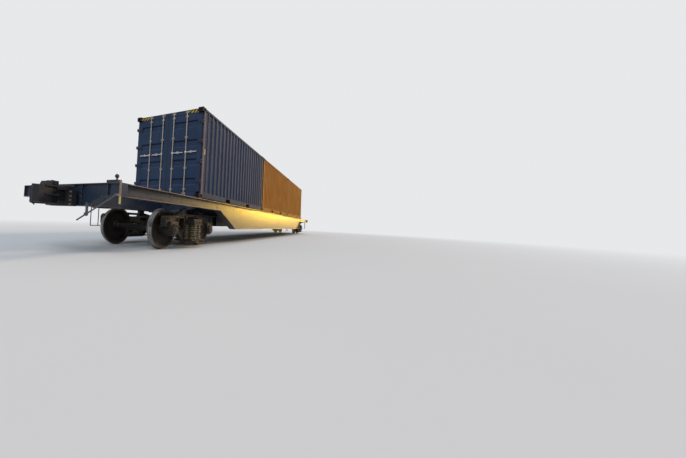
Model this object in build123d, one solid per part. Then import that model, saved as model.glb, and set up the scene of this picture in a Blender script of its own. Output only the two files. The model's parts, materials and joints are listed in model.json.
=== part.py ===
from build123d import *
import os

# Container flatcar for a 1520 mm gauge railway with three 20 ft containers on it.
# X runs along the car, its near end (the containers' door ends) at -X, +Z is up.
# Z = 0 is the lowest point of the wheel flanges, so the rail's top is at FLANGE_DEPTH.

# Wheelset
BACK_TO_BACK = 1440.0
WHEEL_WIDTH = 130.0
TREAD_DIAMETER = 957.0
FLANGE_DEPTH = 28.0
FLANGE_WIDTH = 33.0
FLANGE_ROOT = 12.0
TREAD_TAPER = 6.0
RIM_DEPTH = 62.0
WEB_THICKNESS = 24.0
WEB_DISH = 18.0
HUB_DIAMETER = 270.0
HUB_LENGTH = 190.0
SEAT_DIAMETER = 194.0
AXLE_DIAMETER = 165.0
JOURNAL_DIAMETER = 130.0
JOURNAL_REACH = 168.0
JOURNAL_LENGTH = 258.0
JOURNAL_PLAY = 0.5

# Bogie, heights from the axle's middle
BRAKE_ROOM = 226.5
FRAME_OVERHANG = 281.5
FRAME_THICKNESS = 150.0
FRAME_RISE = 391.5
FRAME_END_RISE = 322.0
FRAME_DROP = 338.5
FRAME_RIM = 24.0
FRAME_RECESS = 26.0
WINDOW_RISE = 326.5
COLUMN_WIDTH = 110.0
JAW_WIDTH = 336.0
JAW_RISE = 189.5
JAW_PLAY = 8.0
HORN_DROP = 78.5
HORN_WIDTH = 40.0
OUTER_HORN_RISE = 60.0
WINDOW_FOOT_DROP = 25.0
WINDOW_FOOT_WIDTH = 90.0
SPRING_SEAT_DROP = 263.5
SPRING_HEIGHT = 380.0
SPRING_DIAMETER = 196.0
SPRING_PITCH = 205.0
SPRING_ROW_PITCH = 178.0
SPRING_BAR = 30.0
SPRING_TURNS = 7
SPRING_ROOM = 42.0
SPRING_PLATFORM = 28.0
SEAT_PLAY = 0.3
WEDGE_LENGTH = 80.0
WEDGE_HEIGHT = 170.0
WEDGE_SLOPE = 90.0
WEDGE_TIP = 38.0
AXLEBOX_LENGTH = 250.0
AXLEBOX_SHIFT = 20.0
COVER_DIAMETER = 250.0
COVER_THICKNESS = 34.0
BOLSTER_WIDTH = 440.0
BOLSTER_OVERHANG = 272.0
BOLSTER_BELLY = 110.0
BOLSTER_HEADROOM = 45.0
CENTRE_PLATE_RISE = 327.5
CENTRE_PLATE_DIAMETER = 300.0
CENTRE_BOWL_DIAMETER = 370.0
CENTRE_BOWL_WALL = 25.0
CENTRE_BOWL_DEPTH = 30.0
SIDE_BEARING_Y = 762.0
SIDE_BEARING_HEIGHT = 30.0
SIDE_BEARING_GAP = 12.0
SHOE_GAP = 12.0
SHOE_THICKNESS = 60.0
SHOE_WIDTH = 80.0
BRAKE_BEAM = 70.0
BRAKE_BEAM_DROP = 60.0
BRAKE_LEVER_WIDTH = 36.0
BRAKE_LEVER_DROP = 190.0
BRAKE_ROD = 36.0

# Car frame, depths below the side sills' top, which lies SILL_RISE above the centre plate
DECK_END = 3072.0
PIVOT_OUTSET = 87.0
SILL_RISE = 504.0
SILL_HALF_WIDTH = 1430.0
SILL_SHALLOW = 245.0
SILL_DEEP = 830.0
SLANT_START = 1090.0
SLANT_END = 2390.0
SILL_FLANGE_WIDTH = 240.0
SILL_FLANGE = 16.0
SILL_WEB = 12.0
STIFFENER = 12.0
CENTRE_SILL_HALF = 175.0
CENTRE_SILL_DROP = 60.0
CENTRE_SILL_DEPTH = 335.0
CENTRE_SILL_LIP = 90.0
CENTRE_SILL_PLATE = 14.0
END_BEAM_LENGTH = 180.0
END_BEAM_MIDDLE = 420.0
END_BEAM_FLAT = 600.0
END_BEAM_KNEE = 410.0
END_BEAM_SETBACK = 40.0
BODY_BOLSTER_LENGTH = 400.0
BOLSTER_PLATE_LENGTH = 620.0
BEARER_LENGTH = 200.0
STOP_BEARER_LENGTH = 480.0
BEARER_DEPTH = 180.0
BEARER_WEB = 12.0
BRACE_WIDTH = 80.0
BRACE_THICKNESS = 12.0
STOP_HEIGHT = 50.0
STOP_PLATE = 18.0
STOP_LENGTH = 180.0
STOP_WIDTH = 156.0
PIN_HEIGHT = 40.0
PIN_LENGTH = 96.0
PIN_WIDTH = 52.0
PIN_TAPER = 18.0

# Couplers and draw gear
COUPLER_OVERHANG = 610.0
COUPLER_DROP = 250.0
COUPLER_REACH = 700.0
SHANK_HEIGHT = 176.0
SHANK_WIDTH = 160.0
HEAD_HEIGHT = 300.0
CROWN_HALF = 175.0
CROWN_RISE = 258.0
STRIKER_LENGTH = 100.0
STRIKER_HALF = 340.0
STRIKER_RISE = 118.0
STRIKER_DROP = 181.0
LUG_RISE = 190.0
LUG_WIDTH = 70.0
YOKE_LENGTH = 620.0

# Fittings of the car's ends and underside
BRACKET_HEIGHT = 48.0
BRACKET_LENGTH = 270.0
BRACKET_INSET = 60.0
BRACKET_DEPTH = 90.0
BALL_DIAMETER = 75.0
BALL_INSET = 130.0
BALL_STEM = 30.0
LEVER_ROD = 28.0
HANDLE_WIDTH = 40.0
HANDLE_THICKNESS = 12.0
HANDLE_DROP = 130.0
HANDLE_RISE = 40.0
LEVER_TIP_Y = 420.0
LEVER_TIP_DROP = 438.0
LEVER_GUIDE_SHARE = 0.75
STEP_DEPTH = 610.0
STEP_LENGTH = 250.0
STEP_BAR = 24.0
STEP_INSET = 1840.0
PIPE_DIAMETER = 42.0
PIPE_Y = 400.0
PIPE_HOLE = 62.0
PIPE_END = 130.0
RESERVOIR_DIAMETER = 300.0
RESERVOIR_LENGTH = 1150.0
CYLINDER_DIAMETER = 356.0
CYLINDER_LENGTH = 460.0
VESSEL_Y = 640.0
SADDLE_LENGTH = 150.0

# Container
BOX_COUNT = 3
BOX_LENGTH = 6058.0
BOX_WIDTH = 2438.0
BOX_HEIGHT = 2591.0
BOX_GAP = 76.0
CASTING_LENGTH = 178.0
CASTING_WIDTH = 162.0
CASTING_HEIGHT = 118.0
HOLE_INSET_X = 102.5
HOLE_INSET_Y = 89.5
HOLE_LENGTH = 124.0
HOLE_WIDTH = 64.0
HOLE_DEPTH = 26.0
SHEET = 2.0
WALL_DEPTH = 36.0
WALL_INSET = 8.0
CREST = 72.0
SLOPE = 68.0
VALLEY = 70.0
WALL_MARGIN = 60.0
END_CREST = 110.0
END_SLOPE = 18.0
END_VALLEY = 104.0
END_DEPTH = 45.0
ROOF_DEPTH = 6.0
ROOF_CREST = 91.0
ROOF_SLOPE = 13.5
ROOF_VALLEY = 166.0
RAIL_HEIGHT = 158.0
RAIL_WEB = 6.0
RAIL_WIDTH = 48.0
RAIL_INSET = 4.0
TOP_RAIL = 60.0
TOP_INSET = 10.0
BASE_LIFT = 17.0
FLOOR_TOP = 170.0
FLOOR_THICKNESS = 28.0
MEMBER_WIDTH = 44.0
MEMBERS = 14
POCKET_PITCH = 2050.0
POCKET_WIDTH = 360.0
POCKET_HEIGHT = 115.0
HEADER_HEIGHT = 120.0
DOOR_RECESS = 62.0
DOOR_THICKNESS = 50.0
DOOR_EDGE = 32.0
DOOR_PLAY = 8.0
BAND_DEPTH = 34.0
BAND_HALF = 105.0
BAND_SLOPE = 30.0
BAND_SHARES = (0.126, 0.372, 0.62, 0.867)
DOOR_FRAME = 140.0
PIN_INSET_X = 22.0
PIN_INSET_Y = 16.0
PIN_DIAMETER = 18.0
BARREL_DIAMETER = 30.0
BARREL_HEIGHT = 60.0
HINGE_PLATE = 14.0
PIN_PLAY = 0.5
HINGES = 4
LOCK_ROD = 34.0
LOCK_GAP = 4.0
LOCK_INNER = 200.0
LOCK_PITCH = 465.0
LOCK_REACH = 80.0
GUIDE_SHARES = (0.03, 0.3, 0.7, 0.97)
HANDLE_HEIGHT = 1330.0
HANDLE_LENGTH = 370.0
CATCH_PLACE = 190.0
CAM_HALF = 28.0
CAM_HEIGHT = 44.0
EAR_GAP = 10.0
EAR_WIDTH = 14.0
EAR_MARGIN = 12.0

JOURNAL_SPACING = BACK_TO_BACK + 2 * WHEEL_WIDTH + 2 * JOURNAL_REACH
AXLE_LENGTH = JOURNAL_SPACING + JOURNAL_LENGTH
AXLE_Z = FLANGE_DEPTH + TREAD_DIAMETER / 2
FRAME_Y = JOURNAL_SPACING / 2
WHEELBASE = BOLSTER_WIDTH + TREAD_DIAMETER + 2 * BRAKE_ROOM
COLUMN_HALF = BOLSTER_WIDTH / 2 + WEDGE_LENGTH
SPRING_SEAT = AXLE_Z - SPRING_SEAT_DROP
SPRING_TOP = SPRING_SEAT + SPRING_HEIGHT + SEAT_PLAY
PLATE_Z = AXLE_Z + CENTRE_PLATE_RISE
DECK_Z = PLATE_Z + SILL_RISE
COUPLER_Z = DECK_Z - COUPLER_DROP
ROW_LENGTH = BOX_COUNT * BOX_LENGTH + (BOX_COUNT - 1) * BOX_GAP
PIVOT_X = ROW_LENGTH / 2 + PIVOT_OUTSET
CAR_HALF = ROW_LENGTH / 2 + DECK_END
FACE_X = CAR_HALF + COUPLER_OVERHANG
CENTRE_SILL_TOP = DECK_Z - CENTRE_SILL_DROP
CENTRE_SILL_LOW = CENTRE_SILL_TOP - CENTRE_SILL_DEPTH
CENTRE_SILL_SIDE = CENTRE_SILL_HALF + CENTRE_SILL_PLATE
SILL_INNER = SILL_HALF_WIDTH - SILL_FLANGE_WIDTH
WEB_INNER = SILL_HALF_WIDTH - SILL_FLANGE_WIDTH / 2 - SILL_WEB / 2
BEARER_LOW = DECK_Z - BEARER_DEPTH
PIPE_Z = BEARER_LOW - PIPE_DIAMETER / 2 - SEAT_PLAY
BASE_Z = DECK_Z + STOP_HEIGHT
HOLE_Y = BOX_WIDTH / 2 - HOLE_INSET_Y
LEAF_EDGE = BOX_WIDTH / 2 - PIN_INSET_Y - DOOR_EDGE
DOOR_LOW = BASE_LIFT + RAIL_HEIGHT
DOOR_HIGH = BOX_HEIGHT - HEADER_HEIGHT
LOCK_X = DOOR_RECESS - LOCK_ROD / 2 - LOCK_GAP
LOCK_PLACES = (LOCK_INNER, LOCK_INNER + LOCK_PITCH)


# Solids from plain outlines


def block(x0, x1, y0, y1, z0, z1):
    centre = ((x0 + x1) / 2, (y0 + y1) / 2, (z0 + z1) / 2)
    return Pos(*centre) * Box(x1 - x0, y1 - y0, z1 - z0)


def outline_face(points):
    return make_face(Polyline(*points, close=True))


def rounded_face(corners):
    # Outline from a table with the columns: first coordinate, second coordinate, corner radius
    points = [(a, b) for a, b, radius in corners]
    radii = [radius for a, b, radius in corners]
    return make_face(FilletPolyline(*points, radius=radii, close=True))


def side_solid(face, y0, y1):
    # Face drawn in X and Z, drawn out along Y
    return extrude(Plane.XZ.offset(-y1) * face, amount=y1 - y0)


def side_prism(points, y0, y1):
    return side_solid(outline_face(points), y0, y1)


def cross_prism(points, x0, x1):
    # Outline in Y and Z, drawn out along X
    return extrude(Plane.YZ.offset(x0) * outline_face(points), amount=x1 - x0)


def plan_prism(points, z0, z1):
    # Outline in X and Y, drawn out along Z
    return extrude(Plane.XY.offset(z0) * outline_face(points), amount=z1 - z0)


def rod_x(x0, x1, y, z, diameter):
    return Pos((x0 + x1) / 2, y, z) * Rot(0, 90, 0) * Cylinder(diameter / 2, x1 - x0)


def rod_y(x, y0, y1, z, diameter):
    return Pos(x, (y0 + y1) / 2, z) * Rot(90, 0, 0) * Cylinder(diameter / 2, y1 - y0)


def rod_z(x, y, z0, z1, diameter):
    return Pos(x, y, (z0 + z1) / 2) * Cylinder(diameter / 2, z1 - z0)


def rod_between(start, end, diameter):
    run = Vector(*end) - Vector(*start)
    middle = (Vector(*start) + Vector(*end)) * 0.5
    return Plane(origin=middle, z_dir=run) * Cylinder(diameter / 2, run.length)


def mirrored_x(shape):
    return mirror(shape, about=Plane.YZ)


def mirrored_y(shape):
    return mirror(shape, about=Plane.XZ)


def turned(shape):
    # The same piece at the car's other end, half a turn about the vertical
    return Rot(0, 0, 180) * shape


def both_ways(points):
    # A right half outline closed by its mirror image
    return points + [(-a, *rest) for a, *rest in reversed(points)]


def fold_line(length, shape, levels):
    # Centred corrugation line over a length; shape = (crest, slope, valley), levels = (outer, inner)
    crest, slope, valley = shape
    outer, inner = levels
    pitch = crest + valley + 2 * slope
    repeats = max(1, int((length - crest) // pitch) + 1)
    start = -((repeats - 1) * pitch + crest) / 2
    points = []
    for index in range(repeats):
        at = start + index * pitch
        points += [(at, outer), (at + crest, outer)]
        if index < repeats - 1:
            points += [(at + crest + slope, inner), (at + crest + slope + valley, inner)]
    return points


def write(name, solids):
    export_step(Compound(children=list(solids)), f"parts/{name}.step")


# Wheelsets


def wheel(side, x):
    # Section in radius and Y, turned about the axle; side is +1 or -1
    inner = BACK_TO_BACK / 2
    outer = inner + WHEEL_WIDTH
    tread = TREAD_DIAMETER / 2
    middle = (inner + outer) / 2
    hub_in = middle - HUB_LENGTH / 2
    hub_out = middle + HUB_LENGTH / 2
    rim = tread - RIM_DEPTH
    web = WEB_THICKNESS / 2
    section = [
        (SEAT_DIAMETER / 2, hub_in),
        (HUB_DIAMETER / 2, hub_in),
        (HUB_DIAMETER / 2 + 20, middle - WEB_THICKNESS),
        (rim - 15, middle - web + WEB_DISH),
        (rim, inner),
        (tread + FLANGE_DEPTH - 8, inner),
        (tread + FLANGE_DEPTH, inner + FLANGE_WIDTH / 3),
        (tread + FLANGE_DEPTH - 6, inner + FLANGE_WIDTH * 0.6),
        (tread, inner + FLANGE_WIDTH + FLANGE_ROOT),
        (tread - TREAD_TAPER, outer),
        (rim, outer),
        (rim - 15, middle + web + WEB_DISH),
        (HUB_DIAMETER / 2 + 20, middle),
        (HUB_DIAMETER / 2, hub_out),
        (SEAT_DIAMETER / 2, hub_out),
    ]
    face = outline_face([(radius, side * y) for radius, y in section])
    return Pos(x, 0, AXLE_Z) * revolve(face, axis=Axis.Y, revolution_arc=360)


def axle(x):
    middle = (BACK_TO_BACK + WHEEL_WIDTH) / 2
    seat_in = middle - HUB_LENGTH / 2 - 12
    seat_out = middle + HUB_LENGTH / 2 + 8
    half = [
        (0, AXLE_LENGTH / 2),
        (JOURNAL_DIAMETER / 2 - 8, AXLE_LENGTH / 2),
        (JOURNAL_DIAMETER / 2, AXLE_LENGTH / 2 - 8),
        (JOURNAL_DIAMETER / 2, seat_out + 20),
        (SEAT_DIAMETER / 2, seat_out),
        (SEAT_DIAMETER / 2, seat_in),
        (AXLE_DIAMETER / 2, seat_in - 45),
    ]
    line = half + [(radius, -y) for radius, y in reversed(half)]
    return Pos(x, 0, AXLE_Z) * revolve(outline_face(line), axis=Axis.Y, revolution_arc=360)


# Three-piece bogie: two cast side frames, a cast bolster on spring nests


def arch_face():
    # The frame seen from the side, without its jaws and windows; the outer horns end higher than the inner
    jaw_in = WHEELBASE / 2 - JAW_WIDTH / 2
    end = WHEELBASE / 2 + FRAME_OVERHANG
    top = AXLE_Z + FRAME_RISE
    shoulder = AXLE_Z + FRAME_END_RISE
    horn = AXLE_Z - HORN_DROP
    outer_horn = AXLE_Z + OUTER_HORN_RISE
    right = [
        (COLUMN_HALF + COLUMN_WIDTH / 2, AXLE_Z - FRAME_DROP, 110),
        (jaw_in - HORN_WIDTH, horn, 50),
        (WHEELBASE / 2, horn, 0),
        (WHEELBASE / 2, outer_horn, 0),
        (end, outer_horn, 24),
        (end, shoulder, 95),
        (jaw_in, shoulder + 12, 160),
        (COLUMN_HALF + COLUMN_WIDTH, top, 160),
    ]
    return rounded_face(both_ways(right))


def jaw_face():
    # Slot for an axlebox, open below
    left = WHEELBASE / 2 - JAW_WIDTH / 2
    right = WHEELBASE / 2 + JAW_WIDTH / 2
    jaw = AXLE_Z + JAW_RISE
    low = AXLE_Z - HORN_DROP - 1
    return rounded_face([(left, low, 0), (left, jaw, JAW_PLAY), (right, jaw, JAW_PLAY), (right, low, 0)])


def bolster_window():
    # Opening for the bolster's end, wider at the foot where the springs stand
    wide = SPRING_PITCH + SPRING_DIAMETER / 2 + SPRING_ROOM
    waist = SPRING_TOP + 10
    right = [
        (wide, SPRING_SEAT, 20),
        (wide, waist - 60, 30),
        (COLUMN_HALF, waist, 10),
        (COLUMN_HALF, AXLE_Z + WINDOW_RISE, 20),
    ]
    return rounded_face(both_ways(right))


def side_window():
    # Three-cornered opening between column, top chord and tension arm
    inner = COLUMN_HALF + COLUMN_WIDTH
    outer = WHEELBASE / 2 - JAW_WIDTH / 2 - 85
    foot = AXLE_Z - WINDOW_FOOT_DROP
    right = [
        (inner, foot, 24),
        (inner + WINDOW_FOOT_WIDTH, foot, 20),
        (outer, AXLE_Z + JAW_RISE - 40, 60),
        (outer, AXLE_Z + WINDOW_RISE - 58, 45),
        (inner, AXLE_Z + WINDOW_RISE - 30, 45),
    ]
    return rounded_face(right)


def side_frame(side):
    # Cast truss, its outer face sunk between raised rims, with the springs' platform
    y0 = FRAME_Y - FRAME_THICKNESS / 2
    y1 = FRAME_Y + FRAME_THICKNESS / 2
    arch = arch_face()
    sunk = offset(arch, amount=-FRAME_RIM, kind=Kind.INTERSECTION)
    openings = [bolster_window(), side_window(), mirrored_x(side_window())]
    for opening in openings:
        arch -= opening
        sunk -= offset(opening, amount=FRAME_RIM, kind=Kind.INTERSECTION)
    jaw = jaw_face()
    foot_x = WHEELBASE / 2 - JAW_WIDTH / 2 - FRAME_RIM
    foot_top = AXLE_Z + JAW_RISE + FRAME_RIM
    for way in (1, -1):
        foot_end = WHEELBASE / 2 + FRAME_OVERHANG
        corners = [(foot_x, 0), (foot_end, 0), (foot_end, foot_top), (foot_x, foot_top)]
        foot = outline_face([(way * x, z) for x, z in corners])
        sunk -= foot
        arch -= jaw if way > 0 else mirrored_x(jaw)
    frame = side_solid(arch, y0, y1) - side_solid(sunk, y1 - FRAME_RECESS, y1 + 1)
    reach = SPRING_ROW_PITCH + SPRING_DIAMETER / 2 + 10
    low = AXLE_Z - FRAME_DROP
    half = FRAME_THICKNESS / 2
    section = [
        (FRAME_Y + reach, SPRING_SEAT),
        (FRAME_Y + reach, SPRING_SEAT - SPRING_PLATFORM),
        (FRAME_Y + half, low + 8),
        (FRAME_Y - half, low + 8),
        (FRAME_Y - reach, SPRING_SEAT - SPRING_PLATFORM),
        (FRAME_Y - reach, SPRING_SEAT),
    ]
    wide = SPRING_PITCH + SPRING_DIAMETER / 2 + 10
    frame += cross_prism(section, -wide, wide)
    return frame if side > 0 else mirrored_y(frame)


def bogie_bolster():
    # Fish-bellied casting with a bowl for the centre plate and lightening holes
    top = PLATE_Z
    end_top = AXLE_Z + WINDOW_RISE - BOLSTER_HEADROOM
    end_y = FRAME_Y + BOLSTER_OVERHANG
    shoulder = FRAME_Y - FRAME_THICKNESS / 2 - 90
    bowl = CENTRE_BOWL_DIAMETER / 2 + CENTRE_BOWL_WALL
    foot = FRAME_Y - SPRING_ROW_PITCH - SPRING_DIAMETER / 2 - 20
    half = [
        (bowl + 120, SPRING_TOP - BOLSTER_BELLY),
        (foot, SPRING_TOP),
        (end_y, SPRING_TOP),
        (end_y, end_top - 40),
        (end_y - 40, end_top),
        (shoulder, end_top),
        (bowl + 40, top),
    ]
    body = cross_prism(both_ways(half), -BOLSTER_WIDTH / 2, BOLSTER_WIDTH / 2)
    body += rod_z(0, 0, top - 1, top + CENTRE_BOWL_DEPTH, 2 * bowl)
    body -= rod_z(0, 0, top, top + CENTRE_BOWL_DEPTH + 1, CENTRE_BOWL_DIAMETER)
    slot = SlotOverall(230, 110)
    for side in (1, -1):
        pad_y = side * SIDE_BEARING_Y
        body += block(-130, 130, pad_y - 50, pad_y + 50, end_top - 5, top + SIDE_BEARING_HEIGHT)
        place = Pos(side * (bowl + 250), (SPRING_TOP + top) / 2 - 20)
        hole = Plane.YZ.offset(-BOLSTER_WIDTH / 2 - 1) * place * slot
        body -= extrude(hole, amount=BOLSTER_WIDTH + 2)
    return body


def friction_wedges(side):
    # Wedges between the bolster's sides and the frame's columns, on the middle row's outer springs
    inner = BOLSTER_WIDTH / 2 + SEAT_PLAY
    outer = COLUMN_HALF - SEAT_PLAY
    high = SPRING_TOP + WEDGE_HEIGHT
    outline = [
        (inner, SPRING_TOP),
        (outer, SPRING_TOP),
        (outer, high),
        (outer - WEDGE_TIP, high),
        (inner, high - WEDGE_SLOPE),
    ]
    half = FRAME_THICKNESS / 2
    wedge = side_prism(outline, side * FRAME_Y - half, side * FRAME_Y + half)
    return [wedge, mirrored_x(wedge)]


def spring():
    # Coil spring as its rings, standing on the frame's seat
    radius = SPRING_DIAMETER / 2
    low = SPRING_SEAT + SEAT_PLAY
    pitch = (SPRING_HEIGHT - SEAT_PLAY) / SPRING_TURNS
    half_bar = SPRING_BAR / 2
    section = [(0, low)]
    for turn in range(SPRING_TURNS):
        middle = low + (turn + 0.5) * pitch
        section.append((radius - half_bar, middle - pitch / 2))
        section += [(radius, middle - half_bar / 2), (radius, middle + half_bar / 2)]
    high = low + SPRING_TURNS * pitch
    section += [(radius - half_bar, high), (0, high)]
    face = Plane.XZ * outline_face(section)
    return revolve(face, axis=Axis.Z, revolution_arc=360)


def spring_nest(side):
    # Seven springs: two in the outer rows, three in the middle one; columns are steps along X and Y
    places = [(-0.5, -1), (0.5, -1), (-1, 0), (0, 0), (1, 0), (-0.5, 1), (0.5, 1)]
    nest = Pos(0, side * FRAME_Y, 0)
    one = spring()
    return [nest * Pos(along * SPRING_PITCH, row * SPRING_ROW_PITCH, 0) * one for along, row in places]


def axlebox(side, x):
    # Arched housing in the jaw with a round cover over the axle's end
    y0 = FRAME_Y - AXLEBOX_LENGTH / 2 + AXLEBOX_SHIFT
    y1 = y0 + AXLEBOX_LENGTH
    half = JAW_WIDTH / 2 - JAW_PLAY
    box = block(x - half, x + half, y0, y1, AXLE_Z, AXLE_Z + JAW_RISE - SEAT_PLAY)
    box += rod_y(x, y0, y1, AXLE_Z, 2 * half)
    box += rod_y(x, y1 - 1, y1 + COVER_THICKNESS, AXLE_Z, COVER_DIAMETER)
    box += rod_y(x, y1 + COVER_THICKNESS - 1, y1 + COVER_THICKNESS + 12, AXLE_Z, COVER_DIAMETER * 0.6)
    box -= rod_y(x, y0 - 1, AXLE_LENGTH / 2 + 5, AXLE_Z, JOURNAL_DIAMETER + 2 * JOURNAL_PLAY)
    return box if side > 0 else mirrored_y(box)


def brake_rigging():
    # Beams with their shoes, hung from the side frames, with a lever each and a rod under the bolster
    reach = TREAD_DIAMETER / 2 + SHOE_GAP + SHOE_THICKNESS
    beam_x = WHEELBASE / 2 - reach
    y_shoe = BACK_TO_BACK / 2 + FLANGE_WIDTH + FLANGE_ROOT + SHOE_WIDTH / 2
    half = y_shoe + SHOE_WIDTH / 2
    z = AXLE_Z - BRAKE_BEAM_DROP
    face = FRAME_Y - FRAME_THICKNESS / 2 - SEAT_PLAY
    clear = TREAD_DIAMETER / 2 + FLANGE_DEPTH + SHOE_GAP
    lever_x = beam_x - BRAKE_BEAM - BRAKE_LEVER_WIDTH / 2
    low = z - BRAKE_LEVER_DROP
    # Beam as a shallow triangle that comes to a point at the lever
    plan = [
        (beam_x + 6, -half),
        (beam_x + 6, half),
        (beam_x - 40, half),
        (lever_x, 60),
        (lever_x, -60),
        (beam_x - 40, -half),
    ]
    inside = [(beam_x - 34, -half + 150), (beam_x - 34, half - 150), (lever_x + 38, 30), (lever_x + 38, -30)]
    end = plan_prism(plan, z - BRAKE_BEAM / 2, z + BRAKE_BEAM / 2)
    end -= plan_prism(inside, z - BRAKE_BEAM, z + BRAKE_BEAM)
    end -= rod_y(WHEELBASE / 2, -BACK_TO_BACK / 2 - 50, BACK_TO_BACK / 2 + 50, AXLE_Z, 2 * clear)
    for side in (1, -1):
        y = side * y_shoe
        shoe = rod_y(WHEELBASE / 2, y - SHOE_WIDTH / 2, y + SHOE_WIDTH / 2, AXLE_Z, 2 * reach)
        shoe -= rod_y(WHEELBASE / 2, y - SHOE_WIDTH, y + SHOE_WIDTH, AXLE_Z, 2 * (reach - SHOE_THICKNESS))
        kept = block(beam_x - 1, beam_x + 170, y - SHOE_WIDTH, y + SHOE_WIDTH, AXLE_Z - 210, AXLE_Z + 130)
        end += shoe & kept
        a, b = sorted((side * (half - 10), side * face))
        end += block(beam_x + 5, beam_x + SHOE_THICKNESS - 10, a, b, AXLE_Z + 80, AXLE_Z + 130)
    end += block(lever_x - BRAKE_LEVER_WIDTH / 2, lever_x + BRAKE_LEVER_WIDTH / 2, -14, 14, low - 20, z + 130)
    rod = rod_x(-lever_x, lever_x, 0, low, BRAKE_ROD)
    return end + mirrored_x(end) + rod


# Car frame


def belly_depth(x):
    # Depth of the side sill at a distance from the car's middle
    start = PIVOT_X - SLANT_START
    end = PIVOT_X - SLANT_END
    share = min(max((start - abs(x)) / (start - end), 0), 1)
    return SILL_SHALLOW + share * (SILL_DEEP - SILL_SHALLOW)


def side_sill(side, bearers):
    # Fish-bellied I-section with stiffeners inside where the bearers meet it
    y1 = SILL_HALF_WIDTH
    y0 = SILL_INNER
    web = (y0 + y1) / 2
    end = CAR_HALF - END_BEAM_LENGTH
    right = [(x, DECK_Z - belly_depth(x)) for x in (PIVOT_X - SLANT_END, PIVOT_X - SLANT_START, end)]
    belly = [(-x, z) for x, z in reversed(right)] + right
    rise = [(x, z + SILL_FLANGE) for x, z in belly]
    body = side_prism(belly + list(reversed(rise)), y0, y1)
    body += side_prism(belly + [(end, DECK_Z), (-end, DECK_Z)], web - SILL_WEB / 2, web + SILL_WEB / 2)
    body += block(-end, end, y0, y1, DECK_Z - SILL_FLANGE, DECK_Z)
    for x in bearers:
        half = STIFFENER / 2
        low = DECK_Z - min(belly_depth(x - half), belly_depth(x + half)) + 4
        body += block(x - half, x + half, y0 + 4, web, low, DECK_Z - 4)
    return body if side > 0 else mirrored_y(body)


def end_beam():
    # Box beam across the far end, deeper at the middle where the coupler's pocket is
    x1 = CAR_HALF
    x0 = x1 - END_BEAM_LENGTH
    low = DECK_Z - SILL_SHALLOW
    half = [
        (END_BEAM_FLAT, DECK_Z - END_BEAM_MIDDLE),
        (SILL_HALF_WIDTH - END_BEAM_KNEE, low),
        (SILL_HALF_WIDTH, low),
        (SILL_HALF_WIDTH, DECK_Z),
    ]
    beam = cross_prism(both_ways(half), x0, x1)
    # Front face set back between its flanges, and the knee's plate at each corner
    lip = SILL_FLANGE
    panel = [
        (CENTRE_SILL_HALF + 60, DECK_Z - END_BEAM_MIDDLE + lip),
        (END_BEAM_FLAT - 3, DECK_Z - END_BEAM_MIDDLE + lip),
        (SILL_HALF_WIDTH - END_BEAM_KNEE - 3, low + lip),
        (SILL_HALF_WIDTH - lip, low + lip),
        (SILL_HALF_WIDTH - lip, DECK_Z - lip),
        (CENTRE_SILL_HALF + 60, DECK_Z - lip),
    ]
    for way in (1, -1):
        beam -= cross_prism([(way * y, z) for y, z in panel], x1 - END_BEAM_SETBACK, x1 + 1)
    beam -= block(x0 - 1, x1 + 1, -CENTRE_SILL_HALF, CENTRE_SILL_HALF, 0, COUPLER_Z + 140)
    for way in (1, -1):
        beam -= rod_x(x0 - 1, x1 + 1, way * PIPE_Y, PIPE_Z, PIPE_HOLE)
    return beam


def centre_sill():
    # Hat section along the whole car, open below
    half = CAR_HALF - END_BEAM_LENGTH
    plate = CENTRE_SILL_PLATE
    inner = CENTRE_SILL_HALF
    outer = CENTRE_SILL_SIDE
    right = [
        (inner, CENTRE_SILL_TOP - plate),
        (inner, CENTRE_SILL_LOW),
        (outer + CENTRE_SILL_LIP, CENTRE_SILL_LOW),
        (outer + CENTRE_SILL_LIP, CENTRE_SILL_LOW + plate),
        (outer, CENTRE_SILL_LOW + plate),
        (outer, CENTRE_SILL_TOP),
    ]
    return cross_prism(both_ways(right), -half, half)


def body_bolster(side):
    # Box between the centre sill and the side sill's web, over the bogie, with its top plate and side bearing
    y0 = CENTRE_SILL_SIDE
    top = DECK_Z - SILL_FLANGE
    low_in = CENTRE_SILL_LOW + CENTRE_SILL_PLATE
    low_out = DECK_Z - SILL_SHALLOW + SILL_FLANGE
    outline = [
        (y0, low_in),
        (y0 + CENTRE_SILL_LIP + 60, low_in),
        (SILL_INNER - 40, low_out),
        (WEB_INNER, low_out),
        (WEB_INNER, top),
        (y0, top),
    ]
    half = BODY_BOLSTER_LENGTH / 2
    box = cross_prism(outline, -half, half)
    wide = BOLSTER_PLATE_LENGTH / 2
    box += block(-wide, wide, y0, SILL_INNER, top - 1, DECK_Z)
    bearing_low = PLATE_Z + SIDE_BEARING_HEIGHT + SIDE_BEARING_GAP
    box += block(-100, 100, SIDE_BEARING_Y - 45, SIDE_BEARING_Y + 45, bearing_low, (low_in + top) / 2)
    box -= rod_x(-half - 1, half + 1, PIPE_Y, PIPE_Z, PIPE_HOLE)
    return box if side > 0 else mirrored_y(box)


def centre_plate():
    low = PLATE_Z + SEAT_PLAY
    disc = rod_z(0, 0, low, CENTRE_SILL_LOW, CENTRE_PLATE_DIAMETER)
    reach = CENTRE_SILL_SIDE + CENTRE_SILL_LIP - 10
    return disc + block(-220, 220, -reach, reach, CENTRE_SILL_LOW - 20, CENTRE_SILL_LOW)


def cross_bearer(side, length):
    # I-section bearer from the centre sill to the side sill
    y0 = CENTRE_SILL_SIDE
    y1 = SILL_INNER
    half = length / 2
    body = block(-half, half, y0, y1, DECK_Z - SILL_FLANGE, DECK_Z)
    body += block(-half, half, y0, y1, BEARER_LOW, BEARER_LOW + SILL_FLANGE)
    body += block(-BEARER_WEB / 2, BEARER_WEB / 2, y0, y1, BEARER_LOW, DECK_Z)
    return body if side > 0 else mirrored_y(body)


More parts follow.
